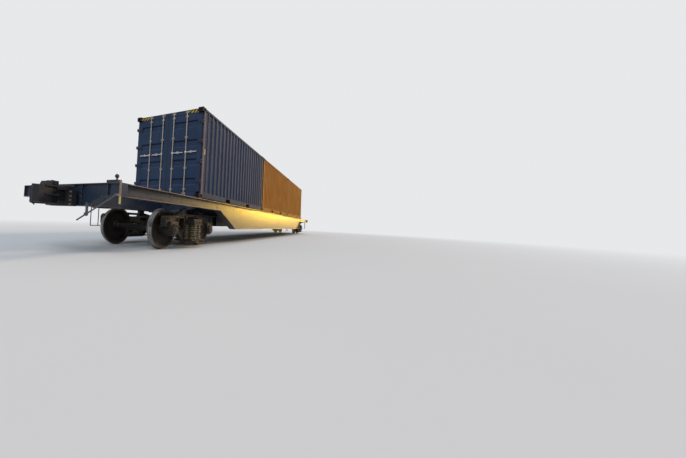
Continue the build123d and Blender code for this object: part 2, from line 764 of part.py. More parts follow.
def deck_brace(x0, x1):
    # Flat bar in plan from the centre sill at x0 to the side sill's web at x1
    half = BRACE_WIDTH / 2
    plan = [
        (x0 - half, CENTRE_SILL_SIDE),
        (x0 + half, CENTRE_SILL_SIDE),
        (x1 + half, WEB_INNER),
        (x1 - half, WEB_INNER),
    ]
    high = CENTRE_SILL_TOP - 4
    return plan_prism(plan, high - BRACE_THICKNESS, high)


def container_stop():
    # Raised seat with the pin that enters a container's bottom fitting
    top = DECK_Z + STOP_HEIGHT
    half_x = STOP_LENGTH / 2
    half_y = STOP_WIDTH / 2
    seat = block(15 - half_x, half_x - 15, -half_y, half_y, DECK_Z, top - STOP_PLATE)
    seat += block(-half_x, half_x, -half_y, half_y, top - STOP_PLATE, top)
    pin_foot = Plane.XY.offset(top - 1) * Rectangle(PIN_LENGTH, PIN_WIDTH)
    pin = extrude(pin_foot, amount=PIN_HEIGHT + 1, taper=PIN_TAPER)
    return seat + pin


def coupler():
    # Automatic coupler at the far end: shank, head with big and small tooth, and the lock between them
    face = FACE_X
    z = COUPLER_Z
    back = CAR_HALF - COUPLER_REACH
    high = SHANK_HEIGHT / 2
    wide = SHANK_WIDTH / 2
    tall = HEAD_HEIGHT / 2
    body = block(back, face - 330, -wide, wide, z - high, z + high)
    # Outlines in X from the coupling face and Y
    head = [
        (-345, -125),
        (-230, -190),
        (-62, -190),
        (-40, -150),
        (-52, -92),
        (-135, -45),
        (-135, 62),
        (60, 118),
        (98, 140),
        (112, 205),
        (40, 255),
        (-205, 228),
        (-345, 125),
    ]
    body += plan_prism([(face + x, y) for x, y in head], z - tall, z + tall)
    # Crown over the head's back, from the coupling face in X and the coupler's middle in Z
    crown = [(-345, -tall), (-185, -tall), (-185, tall), (-235, CROWN_RISE), (-345, CROWN_RISE)]
    body += side_prism([(face + x, z + up) for x, up in crown], -CROWN_HALF, CROWN_HALF)
    lock = [(-136, -38), (-60, -20), (-60, 30), (-136, 55)]
    body += plan_prism([(face + x, y) for x, y in lock], z - 95, z + 95)
    # Ribs round the head: X and Y of one corner, X and Y of the other, half their height
    ribs = [
        (-300, -150, -90, -205, 165),
        (-330, 40, -90, 265, 165),
    ]
    for x0, y0, x1, y1, up in ribs:
        a, b = sorted((y0, y1))
        for low, top in ((z - up, z - up + 24), (z - 12, z + 12), (z + up - 24, z + up)):
            body += block(face + x0, face + x1, a, b, low, top)
    body += block(face - 372, face - 340, -wide - 34, wide + 34, z - high - 42, z + high + 42)
    return body


def striker_box():
    # Cast striker on the end beam's face, with the centring bar that carries the shank
    x = CAR_HALF
    z = COUPLER_Z
    wide = CENTRE_SILL_HALF + 55
    slot = SHANK_HEIGHT / 2
    box = block(x, x + STRIKER_LENGTH, -STRIKER_HALF, STRIKER_HALF, z - STRIKER_DROP, z + STRIKER_RISE)
    box += block(x, x + STRIKER_LENGTH, -wide, wide, z, z + LUG_RISE)
    box -= block(x - 1, x + STRIKER_LENGTH + 1, -130, 130, z - slot - SEAT_PLAY, z + STRIKER_RISE)
    # Buffing lugs over the opening
    for way in (1, -1):
        y = way * (wide - LUG_WIDTH / 2)
        half = LUG_WIDTH / 2
        box += block(x, x + STRIKER_LENGTH + 40, y - half, y + half, z + STRIKER_RISE, z + LUG_RISE)
    return box


def draft_gear():
    # Spring gear in its yoke behind the coupler, on the plate bolted under the centre sill
    x1 = CAR_HALF - COUPLER_REACH
    half = CENTRE_SILL_HALF - 10
    gear = block(x1 - YOKE_LENGTH, x1, -half, half, CENTRE_SILL_LOW, COUPLER_Z + 120)
    reach = CENTRE_SILL_SIDE + CENTRE_SILL_LIP
    gear += block(x1 - YOKE_LENGTH + 140, x1 - 140, -reach, reach, CENTRE_SILL_LOW - 16, CENTRE_SILL_LOW)
    return gear


def end_fittings():
    # At the far end: corner bracket with its ball on one side, step on the other
    corner = SILL_HALF_WIDTH
    x1 = CAR_HALF
    y1 = corner - BRACKET_INSET
    top = DECK_Z + BRACKET_HEIGHT
    bracket = block(x1 - BRACKET_DEPTH, x1, y1 - BRACKET_LENGTH, y1, DECK_Z, top)
    ball_x = x1 - BRACKET_DEPTH / 2
    ball_z = top + BALL_STEM + BALL_DIAMETER / 2
    y = corner - BALL_INSET
    bracket += rod_z(ball_x, y, top - 1, ball_z, BALL_DIAMETER * 0.4)
    bracket += Pos(ball_x, y, ball_z) * Sphere(BALL_DIAMETER / 2)
    low = DECK_Z - SILL_SHALLOW
    step_x = x1 - STEP_INSET
    near = step_x - STEP_LENGTH / 2
    far = step_x + STEP_LENGTH / 2
    y = -corner + 60
    foot = low - STEP_DEPTH
    step = rod_y(near, y - 30, y + 50, foot, STEP_BAR) + rod_y(far, y - 30, y + 50, foot, STEP_BAR)
    for x in (near, far):
        step += rod_z(x, y - 30, foot, low, STEP_BAR)
    step += block(near, far, y - 42, y + 62, foot - 8, foot + 8)
    return [bracket, step]


def uncoupling_lever():
    # Rod across the far end, from its handle at the corner through a hanging guide down to the coupler
    x = CAR_HALF + 30
    corner = SILL_HALF_WIDTH
    low = DECK_Z - SILL_SHALLOW
    knee = (x, corner - 45, low + 22)
    tip = (x, LEVER_TIP_Y, low - LEVER_TIP_DROP)
    gy = knee[1] + LEVER_GUIDE_SHARE * (tip[1] - knee[1])
    gz = knee[2] + LEVER_GUIDE_SHARE * (tip[2] - knee[2])
    lever = rod_between(knee, tip, LEVER_ROD)
    lever += Pos(*knee) * Sphere(LEVER_ROD * 0.6)
    lever += rod_y(x, knee[1], corner + 6, knee[2], LEVER_ROD)
    # Guide that hangs from the beam's lower edge, with its eye round the rod
    beam_low = DECK_Z - END_BEAM_MIDDLE
    lever += rod_y(x, gy - 16, gy + 16, gz, 70)
    lever += block(x - 30, x + 10, gy - 14, gy + 14, gz, beam_low + 60)
    # Flat handle down the corner of the side sill
    handle_y = corner + SEAT_PLAY
    lever += block(x - 60, x + 14, handle_y, handle_y + HANDLE_THICKNESS, knee[2] - 22, knee[2] + 22)
    handle_x = x - 60
    handle_far = handle_x + HANDLE_WIDTH
    handle_out = handle_y + HANDLE_THICKNESS
    lever += block(handle_x, handle_far, handle_y, handle_out, low - HANDLE_DROP, DECK_Z + HANDLE_RISE)
    return lever


def brake_pipe():
    # Main air pipe under the bearers, with its angle cock at each end
    end = CAR_HALF + PIPE_END
    pipe = rod_x(-end, end, PIPE_Y, PIPE_Z, PIPE_DIAMETER)
    for way in (1, -1):
        x = way * (end - 25)
        pipe += rod_z(x, PIPE_Y, PIPE_Z - 70, PIPE_Z + 45, 56)
        pipe += rod_x(min(x, x + way * 70), max(x, x + way * 70), PIPE_Y, PIPE_Z - 50, 60)
    return pipe


def brake_vessels(reservoir_x, cylinder_x):
    # Air reservoir and brake cylinder, each in a saddle under a bearer
    radius = RESERVOIR_DIAMETER / 2
    z = BEARER_LOW - 22 - radius
    half = RESERVOIR_LENGTH / 2
    saddle = SADDLE_LENGTH / 2
    tank = rod_x(reservoir_x - half, reservoir_x + half, VESSEL_Y, z, RESERVOIR_DIAMETER)
    for way in (1, -1):
        x = reservoir_x + way * half
        tank += rod_x(min(x, x + way * 40), max(x, x + way * 40), VESSEL_Y, z, RESERVOIR_DIAMETER * 0.72)
    tank += block(reservoir_x - saddle, reservoir_x + saddle, VESSEL_Y - 110, VESSEL_Y + 110, z, BEARER_LOW)
    radius = CYLINDER_DIAMETER / 2
    z = BEARER_LOW - 22 - radius
    half = CYLINDER_LENGTH / 2
    y = -VESSEL_Y
    cylinder = rod_x(cylinder_x - half, cylinder_x + half, y, z, CYLINDER_DIAMETER)
    cylinder += rod_x(cylinder_x + half - 1, cylinder_x + half + 60, y, z, CYLINDER_DIAMETER * 0.5)
    cylinder += rod_x(cylinder_x + half, cylinder_x + half + 420, y, z, 44)
    cylinder += rod_x(cylinder_x - half - 30, cylinder_x - half + 1, y, z, CYLINDER_DIAMETER * 0.86)
    cylinder += block(cylinder_x - saddle, cylinder_x + saddle, y - 120, y + 120, z, BEARER_LOW)
    return [tank, cylinder]


# Container parts, from the door end's outer face at x = 0


def slot_outline(length, width):
    # Eight-cornered slot, as of a container fitting
    cut = width * 0.3
    a = length / 2
    b = width / 2
    return both_ways([(a - cut, -b), (a, -b + cut), (a, b - cut), (a - cut, b)])


def fitting(x0, y1, z0, end, upper):
    # Corner casting at the +Y side whose outer end face is at x0 (end = -1) or x0 + its length (end = +1)
    solid = block(x0, x0 + CASTING_LENGTH, y1 - CASTING_WIDTH, y1, z0, z0 + CASTING_HEIGHT)
    hole_x = x0 + HOLE_INSET_X if end < 0 else x0 + CASTING_LENGTH - HOLE_INSET_X
    hole_y = y1 - HOLE_INSET_Y
    middle = z0 + CASTING_HEIGHT / 2
    slot = [(hole_x + a, hole_y + b) for a, b in slot_outline(HOLE_LENGTH, HOLE_WIDTH)]
    if upper:
        solid -= plan_prism(slot, z0 + CASTING_HEIGHT - HOLE_DEPTH, z0 + CASTING_HEIGHT + 1)
    else:
        solid -= plan_prism(slot, z0 - 1, z0 + PIN_HEIGHT + 12)
    slot = [(hole_x + a, middle + b) for a, b in slot_outline(80, HOLE_WIDTH)]
    solid -= side_prism(slot, y1 - HOLE_DEPTH, y1 + 1)
    slot = [(hole_y + b, middle + a) for a, b in slot_outline(80, HOLE_WIDTH)]
    face = x0 if end < 0 else x0 + CASTING_LENGTH
    near, far = sorted((face + end, face - end * HOLE_DEPTH))
    return solid - cross_prism(slot, near, far)


def hinge_levels():
    step = (DOOR_HIGH - DOOR_LOW) / HINGES
    return [DOOR_LOW + step * (index + 0.5) for index in range(HINGES)]


def door_post():
    # Post at the door end's +Y corner, with the hinges' lugs and both castings
    y1 = BOX_WIDTH / 2
    front = DOOR_RECESS + 24
    back = DOOR_RECESS + DOOR_THICKNESS + 6
    jamb = LEAF_EDGE - 55
    plan = [
        (front, y1),
        (CASTING_LENGTH, y1),
        (CASTING_LENGTH, jamb),
        (back, jamb),
        (back, LEAF_EDGE + 6),
        (front, LEAF_EDGE + 6),
    ]
    post = plan_prism(plan, CASTING_HEIGHT - 1, BOX_HEIGHT - CASTING_HEIGHT + 1)
    post += fitting(0, y1, 0, -1, False)
    post += fitting(0, y1, BOX_HEIGHT - CASTING_HEIGHT, -1, True)
    x = PIN_INSET_X
    y = y1 - PIN_INSET_Y
    radius = BARREL_DIAMETER / 2
    for level in hinge_levels():
        for way in (1, -1):
            inner = level + way * (BARREL_HEIGHT / 2 + 1)
            a, b = sorted((inner, inner + way * HINGE_PLATE))
            post += block(x, front + 2, y - radius, y + radius, a, b) + rod_z(x, y, a, b, BARREL_DIAMETER)
        post += rod_z(x, y, level - BARREL_HEIGHT / 2 - 2, level + BARREL_HEIGHT / 2 + 2, PIN_DIAMETER)
    return post


def front_post():
    # Plain post at the closed end's +Y corner, with both castings
    y1 = BOX_WIDTH / 2
    x1 = BOX_LENGTH
    x0 = x1 - CASTING_LENGTH
    plan = [
        (x0, y1 - 50),
        (x0, y1 - 3),
        (x1 - 30, y1 - 3),
        (x1 - 4, y1 - 30),
        (x1 - 4, y1 - CASTING_WIDTH),
        (x1 - 60, y1 - CASTING_WIDTH),
        (x1 - 60, y1 - 50),
    ]
    post = plan_prism(plan, CASTING_HEIGHT - 1, BOX_HEIGHT - CASTING_HEIGHT + 1)
    post += fitting(x0, y1, 0, 1, False)
    return post + fitting(x0, y1, BOX_HEIGHT - CASTING_HEIGHT, 1, True)


def container_posts():
    corner = [door_post(), front_post()]
    return corner + [mirrored_y(post) for post in corner]


def keeper(y, z0, z1):
    # Two ears that hold a locking rod's cam
    ears = None
    x0 = LOCK_X - LOCK_ROD / 2
    for way in (1, -1):
        a = y + way * (CAM_HALF + EAR_GAP)
        b = a + way * EAR_WIDTH
        ear = block(x0, DOOR_RECESS + 1, min(a, b), max(a, b), z0, z1)
        ears = ear if ears is None else ears + ear
    return ears


def container_rails():
    # Two top side rails, door header and sill with their keepers, and the closed end's two rails
    inner_x0 = CASTING_LENGTH
    inner_x1 = BOX_LENGTH - CASTING_LENGTH
    y1 = BOX_WIDTH / 2 - RAIL_INSET
    top = BOX_HEIGHT - TOP_INSET
    side = block(inner_x0, inner_x1, y1 - TOP_RAIL, y1, top - TOP_RAIL, top)
    inside = BOX_WIDTH / 2 - CASTING_WIDTH
    header = block(DOOR_RECESS, CASTING_LENGTH, -inside, inside, DOOR_HIGH, top)
    sill = block(DOOR_RECESS, CASTING_LENGTH, -inside, inside, BASE_LIFT, DOOR_LOW)
    for y in LOCK_PLACES:
        for way in (1, -1):
            header += keeper(way * y, DOOR_HIGH + EAR_MARGIN, top - EAR_MARGIN)
            sill += keeper(way * y, BASE_LIFT + EAR_MARGIN, DOOR_LOW - EAR_MARGIN)
    x1 = BOX_LENGTH - RAIL_INSET
    end_top = block(x1 - TOP_RAIL, x1, -inside, inside, top - TOP_RAIL, top)
    end_low = block(x1 - TOP_RAIL, x1, -inside, inside, BASE_LIFT, DOOR_LOW)
    return [side, mirrored_y(side), header, sill, end_top, end_low]


def container_base_rails():
    # Bottom side rails with the fork pockets' mouths
    inner_x0 = CASTING_LENGTH
    inner_x1 = BOX_LENGTH - CASTING_LENGTH
    y1 = BOX_WIDTH / 2 - RAIL_INSET
    y0 = y1 - RAIL_WIDTH
    low = BASE_LIFT
    web = RAIL_WEB
    rail = block(inner_x0, inner_x1, y0, y1, low, low + RAIL_HEIGHT)
    rail -= block(inner_x0 - 1, inner_x1 + 1, y0 - 1, y1 - web, low + web, low + RAIL_HEIGHT - web)
    for way in (1, -1):
        x = BOX_LENGTH / 2 + way * POCKET_PITCH / 2
        half = POCKET_WIDTH / 2
        rail -= block(x - half, x + half, y0 - 2, y1 + 1, low + web, low + web + POCKET_HEIGHT)
    return [rail, mirrored_y(rail)]


def side_panel():
    length = BOX_LENGTH - 2 * CASTING_LENGTH
    outer = BOX_WIDTH / 2 - WALL_INSET
    inner = outer - WALL_DEPTH + SHEET
    middle = outer - WALL_DEPTH / 2
    line = fold_line(length - 2 * WALL_MARGIN, (CREST, SLOPE, VALLEY), (outer, inner))
    edge = line[-1][0] + SLOPE / 2
    line = [(-length / 2, middle), (-edge, middle)] + line + [(edge, middle), (length / 2, middle)]
    line = [(BOX_LENGTH / 2 + x, y) for x, y in line]
    back = [(x, y - SHEET) for x, y in reversed(line)]
    return plan_prism(line + back, DOOR_LOW, BOX_HEIGHT - TOP_INSET - TOP_RAIL)


def end_panel():
    inside = BOX_WIDTH / 2 - CASTING_WIDTH
    outer = BOX_LENGTH - RAIL_INSET - 8
    inner = outer - END_DEPTH + SHEET
    middle = outer - END_DEPTH / 2
    line = fold_line(2 * inside - WALL_MARGIN, (END_CREST, END_SLOPE, END_VALLEY), (outer, inner))
    edge = line[-1][0] + END_SLOPE / 2
    line = [(-inside, middle), (-edge, middle)] + line + [(edge, middle), (inside, middle)]
    points = [(x, y) for y, x in line] + [(x - SHEET, y) for y, x in reversed(line)]
    return plan_prism(points, DOOR_LOW, BOX_HEIGHT - TOP_INSET - TOP_RAIL)


def roof_panel():
    # Sheet with crosswise pressings, lying on the top rails
    length = BOX_LENGTH - 2 * CASTING_LENGTH
    low = BOX_HEIGHT - TOP_INSET + SHEET
    high = low + ROOF_DEPTH
    line = fold_line(length - 2 * WALL_MARGIN, (ROOF_CREST, ROOF_SLOPE, ROOF_VALLEY), (high, low))
    edge = line[-1][0] + ROOF_SLOPE
    line = [(-length / 2, low), (-edge, low)] + line + [(edge, low), (length / 2, low)]
    line = [(BOX_LENGTH / 2 + x, z) for x, z in line]
    points = line + [(x, z - SHEET) for x, z in reversed(line)]
    half = BOX_WIDTH / 2 - 30
    return side_prism(points, -half, half)


def container_panels():
    side = side_panel()
    return [side, mirrored_y(side), end_panel(), roof_panel()]


def container_floor():
    # Floor boards on cross members, with the fork pockets' tunnels between them
    half = BOX_WIDTH / 2 - RAIL_INSET - RAIL_WIDTH - SEAT_PLAY
    deck_low = FLOOR_TOP - FLOOR_THICKNESS
    x0 = CASTING_LENGTH + SEAT_PLAY
    x1 = BOX_LENGTH - TOP_RAIL - RAIL_INSET
    floor = block(x0, x1, -half, half, deck_low, FLOOR_TOP)
    low = BASE_LIFT + RAIL_WEB
    step = (BOX_LENGTH - 2 * CASTING_LENGTH - 120) / (MEMBERS - 1)
    for index in range(MEMBERS):
        x = CASTING_LENGTH + 60 + index * step
        floor += block(x - MEMBER_WIDTH / 2, x + MEMBER_WIDTH / 2, -half, half, low, deck_low + 1)
    for way in (1, -1):
        x = BOX_LENGTH / 2 + way * POCKET_PITCH / 2
        a = x - POCKET_WIDTH / 2
        floor -= block(a, a + POCKET_WIDTH, -half - 1, half + 1, 0, low + POCKET_HEIGHT)
    return floor


def door_leaf():
    # Left-hand leaf (+Y): a framed panel with sunk bands across it and its hinge blades
    middle = DOOR_PLAY / 2
    edge = LEAF_EDGE
    low = DOOR_LOW + DOOR_PLAY
    high = DOOR_HIGH - DOOR_PLAY
    front = DOOR_RECESS
    back = DOOR_RECESS + DOOR_THICKNESS
    outline = [(back, high), (back, low), (front, low)]
    deep = front + BAND_DEPTH
    flat = BAND_HALF - BAND_SLOPE
    for share in BAND_SHARES:
        z = low + share * (high - low)
        outline += [(front, z - BAND_HALF), (deep, z - flat), (deep, z + flat), (front, z + BAND_HALF)]
    outline += [(front, high)]
    leaf = side_prism(outline, middle, edge)
    leaf += block(front, back, middle, middle + DOOR_FRAME, low, high)
    leaf += block(front, back, edge - DOOR_FRAME, edge, low, high)
    x = PIN_INSET_X
    y = BOX_WIDTH / 2 - PIN_INSET_Y
    plan = [
        (front, edge - 120),
        (front - HINGE_PLATE, edge - 120),
        (front - HINGE_PLATE, edge - 12),
        (x - BARREL_DIAMETER / 2 + 3, y - 8),
        (x, y),
        (x + BARREL_DIAMETER / 2, y + 2),
        (front, edge),
    ]
    for level in hinge_levels():
        a = level - BARREL_HEIGHT / 2
        b = level + BARREL_HEIGHT / 2
        blade = plan_prism(plan, a, b) + rod_z(x, y, a, b, BARREL_DIAMETER)
        leaf += blade - rod_z(x, y, a - 1, b + 1, PIN_DIAMETER + 2 * PIN_PLAY)
    return leaf


def lock_gear():
    # Two locking rods of the +Y leaf, with guides, cams and a handle each toward the hinges
    low = DOOR_LOW + DOOR_PLAY
    high = DOOR_HIGH - DOOR_PLAY
    x = LOCK_X
    radius = LOCK_ROD / 2
    rods = []
    for y in LOCK_PLACES:
        rod = rod_z(x, y, DOOR_LOW - LOCK_REACH, DOOR_HIGH + LOCK_REACH, LOCK_ROD)
        for z in (DOOR_LOW - 55, DOOR_HIGH + 55):
            half = CAM_HEIGHT / 2
            rod += block(x - 4, x + radius, y - CAM_HALF, y + CAM_HALF, z - half, z + half)
        for share in GUIDE_SHARES:
            z = low + share * (high - low)
            rod += block(x - 4, DOOR_RECESS, y - 45, y + 45, z - 25, z + 25)
        middle = HANDLE_HEIGHT
        rod += block(x - radius - 5, x, y - 26, y + 26, middle - 30, middle + 30)
        rod += block(x - radius - 3, x - radius + 8, y, y + HANDLE_LENGTH, middle - 14, middle + 14)
        catch = y + CATCH_PLACE
        rod += block(x - radius - 8, DOOR_RECESS, catch - 22, catch + 22, middle - 34, middle + 34)
        rods.append(rod)
    return rods


# The whole car

os.makedirs("parts", exist_ok=True)

for number, (pivot, way) in enumerate([(-1, -1), (-1, 1), (1, -1), (1, 1)], start=1):
    axle_x = pivot * PIVOT_X + way * WHEELBASE / 2
    write(f"wheels_{number}", [wheel(1, axle_x), wheel(-1, axle_x)])
    write(f"axle_{number}", [axle(axle_x)])

sides = (1, -1)
for name, end in (("a", -1), ("b", 1)):
    at = Pos(end * PIVOT_X, 0, 0)
    boxes = [axlebox(side, way * WHEELBASE / 2) for side in sides for way in sides]
    write(f"bogie_{name}_side_frames", [at * side_frame(side) for side in sides])
    write(f"bogie_{name}_bolster", [at * bogie_bolster()])
    write(f"bogie_{name}_wedges", [at * wedge for side in sides for wedge in friction_wedges(side)])
    write(f"bogie_{name}_springs", [at * spring for side in sides for spring in spring_nest(side)])
    write(f"bogie_{name}_axleboxes", [at * box for box in boxes])
    write(f"bogie_{name}_brake_gear", [at * brake_rigging()])

box_starts = [-ROW_LENGTH / 2 + index * (BOX_LENGTH + BOX_GAP) for index in range(BOX_COUNT)]
stop_places = [x for start in box_starts for x in (start + HOLE_INSET_X, start + BOX_LENGTH - HOLE_INSET_X)]
stops = [Pos(x, side * HOLE_Y, 0) * container_stop() for x in stop_places for side in sides]
write("container_stops", stops)

# Bearers under the joints between containers, and at the third points of each container
joint_bearers = [start - BOX_GAP / 2 for start in box_starts[1:]]
third_bearers = [start + BOX_LENGTH * share / 3 for start in box_starts for share in (1, 2)]
bearers = [(x, STOP_BEARER_LENGTH) for x in joint_bearers] + [(x, BEARER_LENGTH) for x in third_bearers]
write("cross_bearers", [Pos(x, 0, 0) * cross_bearer(side, length) for x, length in bearers for side in sides])

braces = []
for x0, x1 in zip(third_bearers[:-1], third_bearers[1:]):
    if x1 - x0 > BOX_LENGTH / 3 + 1:
        continue
    gap = BEARER_LENGTH / 2 + BRACE_WIDTH / 2 + 10
    brace = deck_brace(x0 + gap, x1 - gap)
    braces += [brace, mirrored_y(brace)]
write("deck_braces", braces)

bearer_lines = sorted(x for x, length in bearers)
write("side_sills", [side_sill(side, bearer_lines) for side in sides])
far_beam = end_beam()
write("end_beams", [far_beam, turned(far_beam)])
write("centre_sill", [centre_sill()])
ends = (-1, 1)
write("body_bolsters", [Pos(end * PIVOT_X, 0, 0) * body_bolster(side) for end in ends for side in sides])
write("centre_plates", [Pos(end * PIVOT_X, 0, 0) * centre_plate() for end in ends])

for name, piece in (("couplers", coupler()), ("striker_boxes", striker_box()), ("draft_gears", draft_gear())):
    write(name, [piece, turned(piece)])
far_fittings = end_fittings()
write("end_fittings", far_fittings + [turned(piece) for piece in far_fittings])
far_lever = uncoupling_lever()
write("uncoupling_levers", [far_lever, turned(far_lever)])
write("brake_pipe", [brake_pipe()])
write("brake_vessels", brake_vessels(third_bearers[2], third_bearers[3]))

for number, start in enumerate(box_starts, start=1):
    name = f"container{number}"
    at = Pos(start, 0, BASE_Z)
    write(f"{name}_posts", [at * post for post in container_posts()])
    write(f"{name}_rails", [at * rail for rail in container_rails()])
    write(f"{name}_base_rails", [at * rail for rail in container_base_rails()])
    write(f"{name}_panels", [at * panel for panel in container_panels()])
    write(f"{name}_floor", [at * container_floor()])
    left = door_leaf()
    rods = lock_gear()
    if number == 1:
        write(f"{name}_door_left", [at * left])
        write(f"{name}_door_right", [at * mirrored_y(left)])
        write(f"{name}_locks_left", [at * rod for rod in rods])
        write(f"{name}_locks_right", [at * mirrored_y(rod) for rod in rods])
    else:
        write(f"{name}_doors", [at * left, at * mirrored_y(left)])
        write(f"{name}_locks", [at * rod for rod in rods] + [at * mirrored_y(rod) for rod in rods])
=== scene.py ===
import json
import math

import bpy
from mathutils import Euler, Matrix, Vector


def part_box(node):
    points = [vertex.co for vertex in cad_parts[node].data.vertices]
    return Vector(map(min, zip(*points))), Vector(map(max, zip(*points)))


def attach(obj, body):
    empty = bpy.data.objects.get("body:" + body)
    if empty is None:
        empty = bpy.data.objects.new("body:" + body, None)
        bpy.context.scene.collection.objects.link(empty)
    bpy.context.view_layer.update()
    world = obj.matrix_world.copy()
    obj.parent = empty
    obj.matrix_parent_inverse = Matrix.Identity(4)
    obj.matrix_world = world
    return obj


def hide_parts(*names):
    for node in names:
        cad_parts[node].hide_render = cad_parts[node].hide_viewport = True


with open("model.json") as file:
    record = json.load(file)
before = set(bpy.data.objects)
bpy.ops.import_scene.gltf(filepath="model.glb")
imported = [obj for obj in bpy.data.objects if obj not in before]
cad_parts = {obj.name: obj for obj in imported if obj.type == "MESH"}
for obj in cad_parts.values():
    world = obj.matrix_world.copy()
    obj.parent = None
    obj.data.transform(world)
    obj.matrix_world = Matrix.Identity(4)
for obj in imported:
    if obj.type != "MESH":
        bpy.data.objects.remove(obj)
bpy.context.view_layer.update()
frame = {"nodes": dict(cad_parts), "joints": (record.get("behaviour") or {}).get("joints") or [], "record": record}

NODES = frame["nodes"]

# Directions
ALONG = (1, 0, 0)
BACK = (-1, 0, 0)
ACROSS = (0, 1, 0)
UP = (0, 0, 1)
DOWN = (0, 0, -1)

# Places of the car, in metres, worked out from the frame
JOINTS = {joint["name"]: Vector(joint["pos_m"]) for joint in frame["joints"]}
PIVOT_X = JOINTS["bogie_b_yaw"].x
AXLE_Z = JOINTS["wheelset_1_spin"].z
AXLE_OFFSET = abs(JOINTS["wheelset_1_spin"].x) - PIVOT_X
SILL_LOW, SILL_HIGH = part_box("side_sills")
DECK_Z = SILL_HIGH.z
SILL_HALF = SILL_HIGH.y
SILL_WEB = SILL_HALF - 0.114
SILL_FLANGE = 0.016
SILL_SHALLOW = 0.245
SLANT_START = PIVOT_X - 1.090
SLANT_END = PIVOT_X - 2.390
CAR_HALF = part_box("end_beams")[1].x
BEAM_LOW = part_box("end_beams")[0].z
BEAM_FLAT = 0.600
BEAM_KNEE = SILL_HALF - 0.410
STRIKER_LOW, STRIKER_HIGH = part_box("striker_boxes")
COUPLER_Z = DECK_Z - 0.250
FACE_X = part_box("couplers")[1].x - 0.112
FRAME_Y = 1.018
FRAME_FACE = FRAME_Y + 0.075
BOX_LOW = [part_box(f"container{number}_posts")[0] for number in (1, 2, 3)]
BOX_HIGH = [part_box(f"container{number}_posts")[1] for number in (1, 2, 3)]
BOX_LENGTH = BOX_HIGH[0].x - BOX_LOW[0].x
BOX_PITCH = BOX_LOW[1].x - BOX_LOW[0].x
BASE_Z = BOX_LOW[0].z
TOP_Z = BOX_HIGH[0].z
BOX_HALF = BOX_HIGH[0].y
CASTING = Vector((0.178, 0.162, 0.118))
WHEEL_LOW, WHEEL_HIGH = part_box("wheels_1")
TREAD = (WHEEL_HIGH.x - WHEEL_LOW.x) / 2 - 0.028

# Places on a container's door end, from its outer face and its base
DOOR_FACE = 0.062
DOOR_LOW = 0.183
DOOR_HIGH = 2.463
LEAF_EDGE = 1.171
LEAF_PLAY = 0.004
HINGE_LEVELS = [0.175 + 0.574 * (index + 0.5) for index in range(4)]
ROD_PLACES = (0.200, 0.665)
GUIDE_LEVELS = [DOOR_LOW + share * (DOOR_HIGH - DOOR_LOW) for share in (0.03, 0.3, 0.7, 0.97)]
HANDLE_LEVEL = 1.330
HANDLE_CATCH = 0.190


# Node graphs of the materials


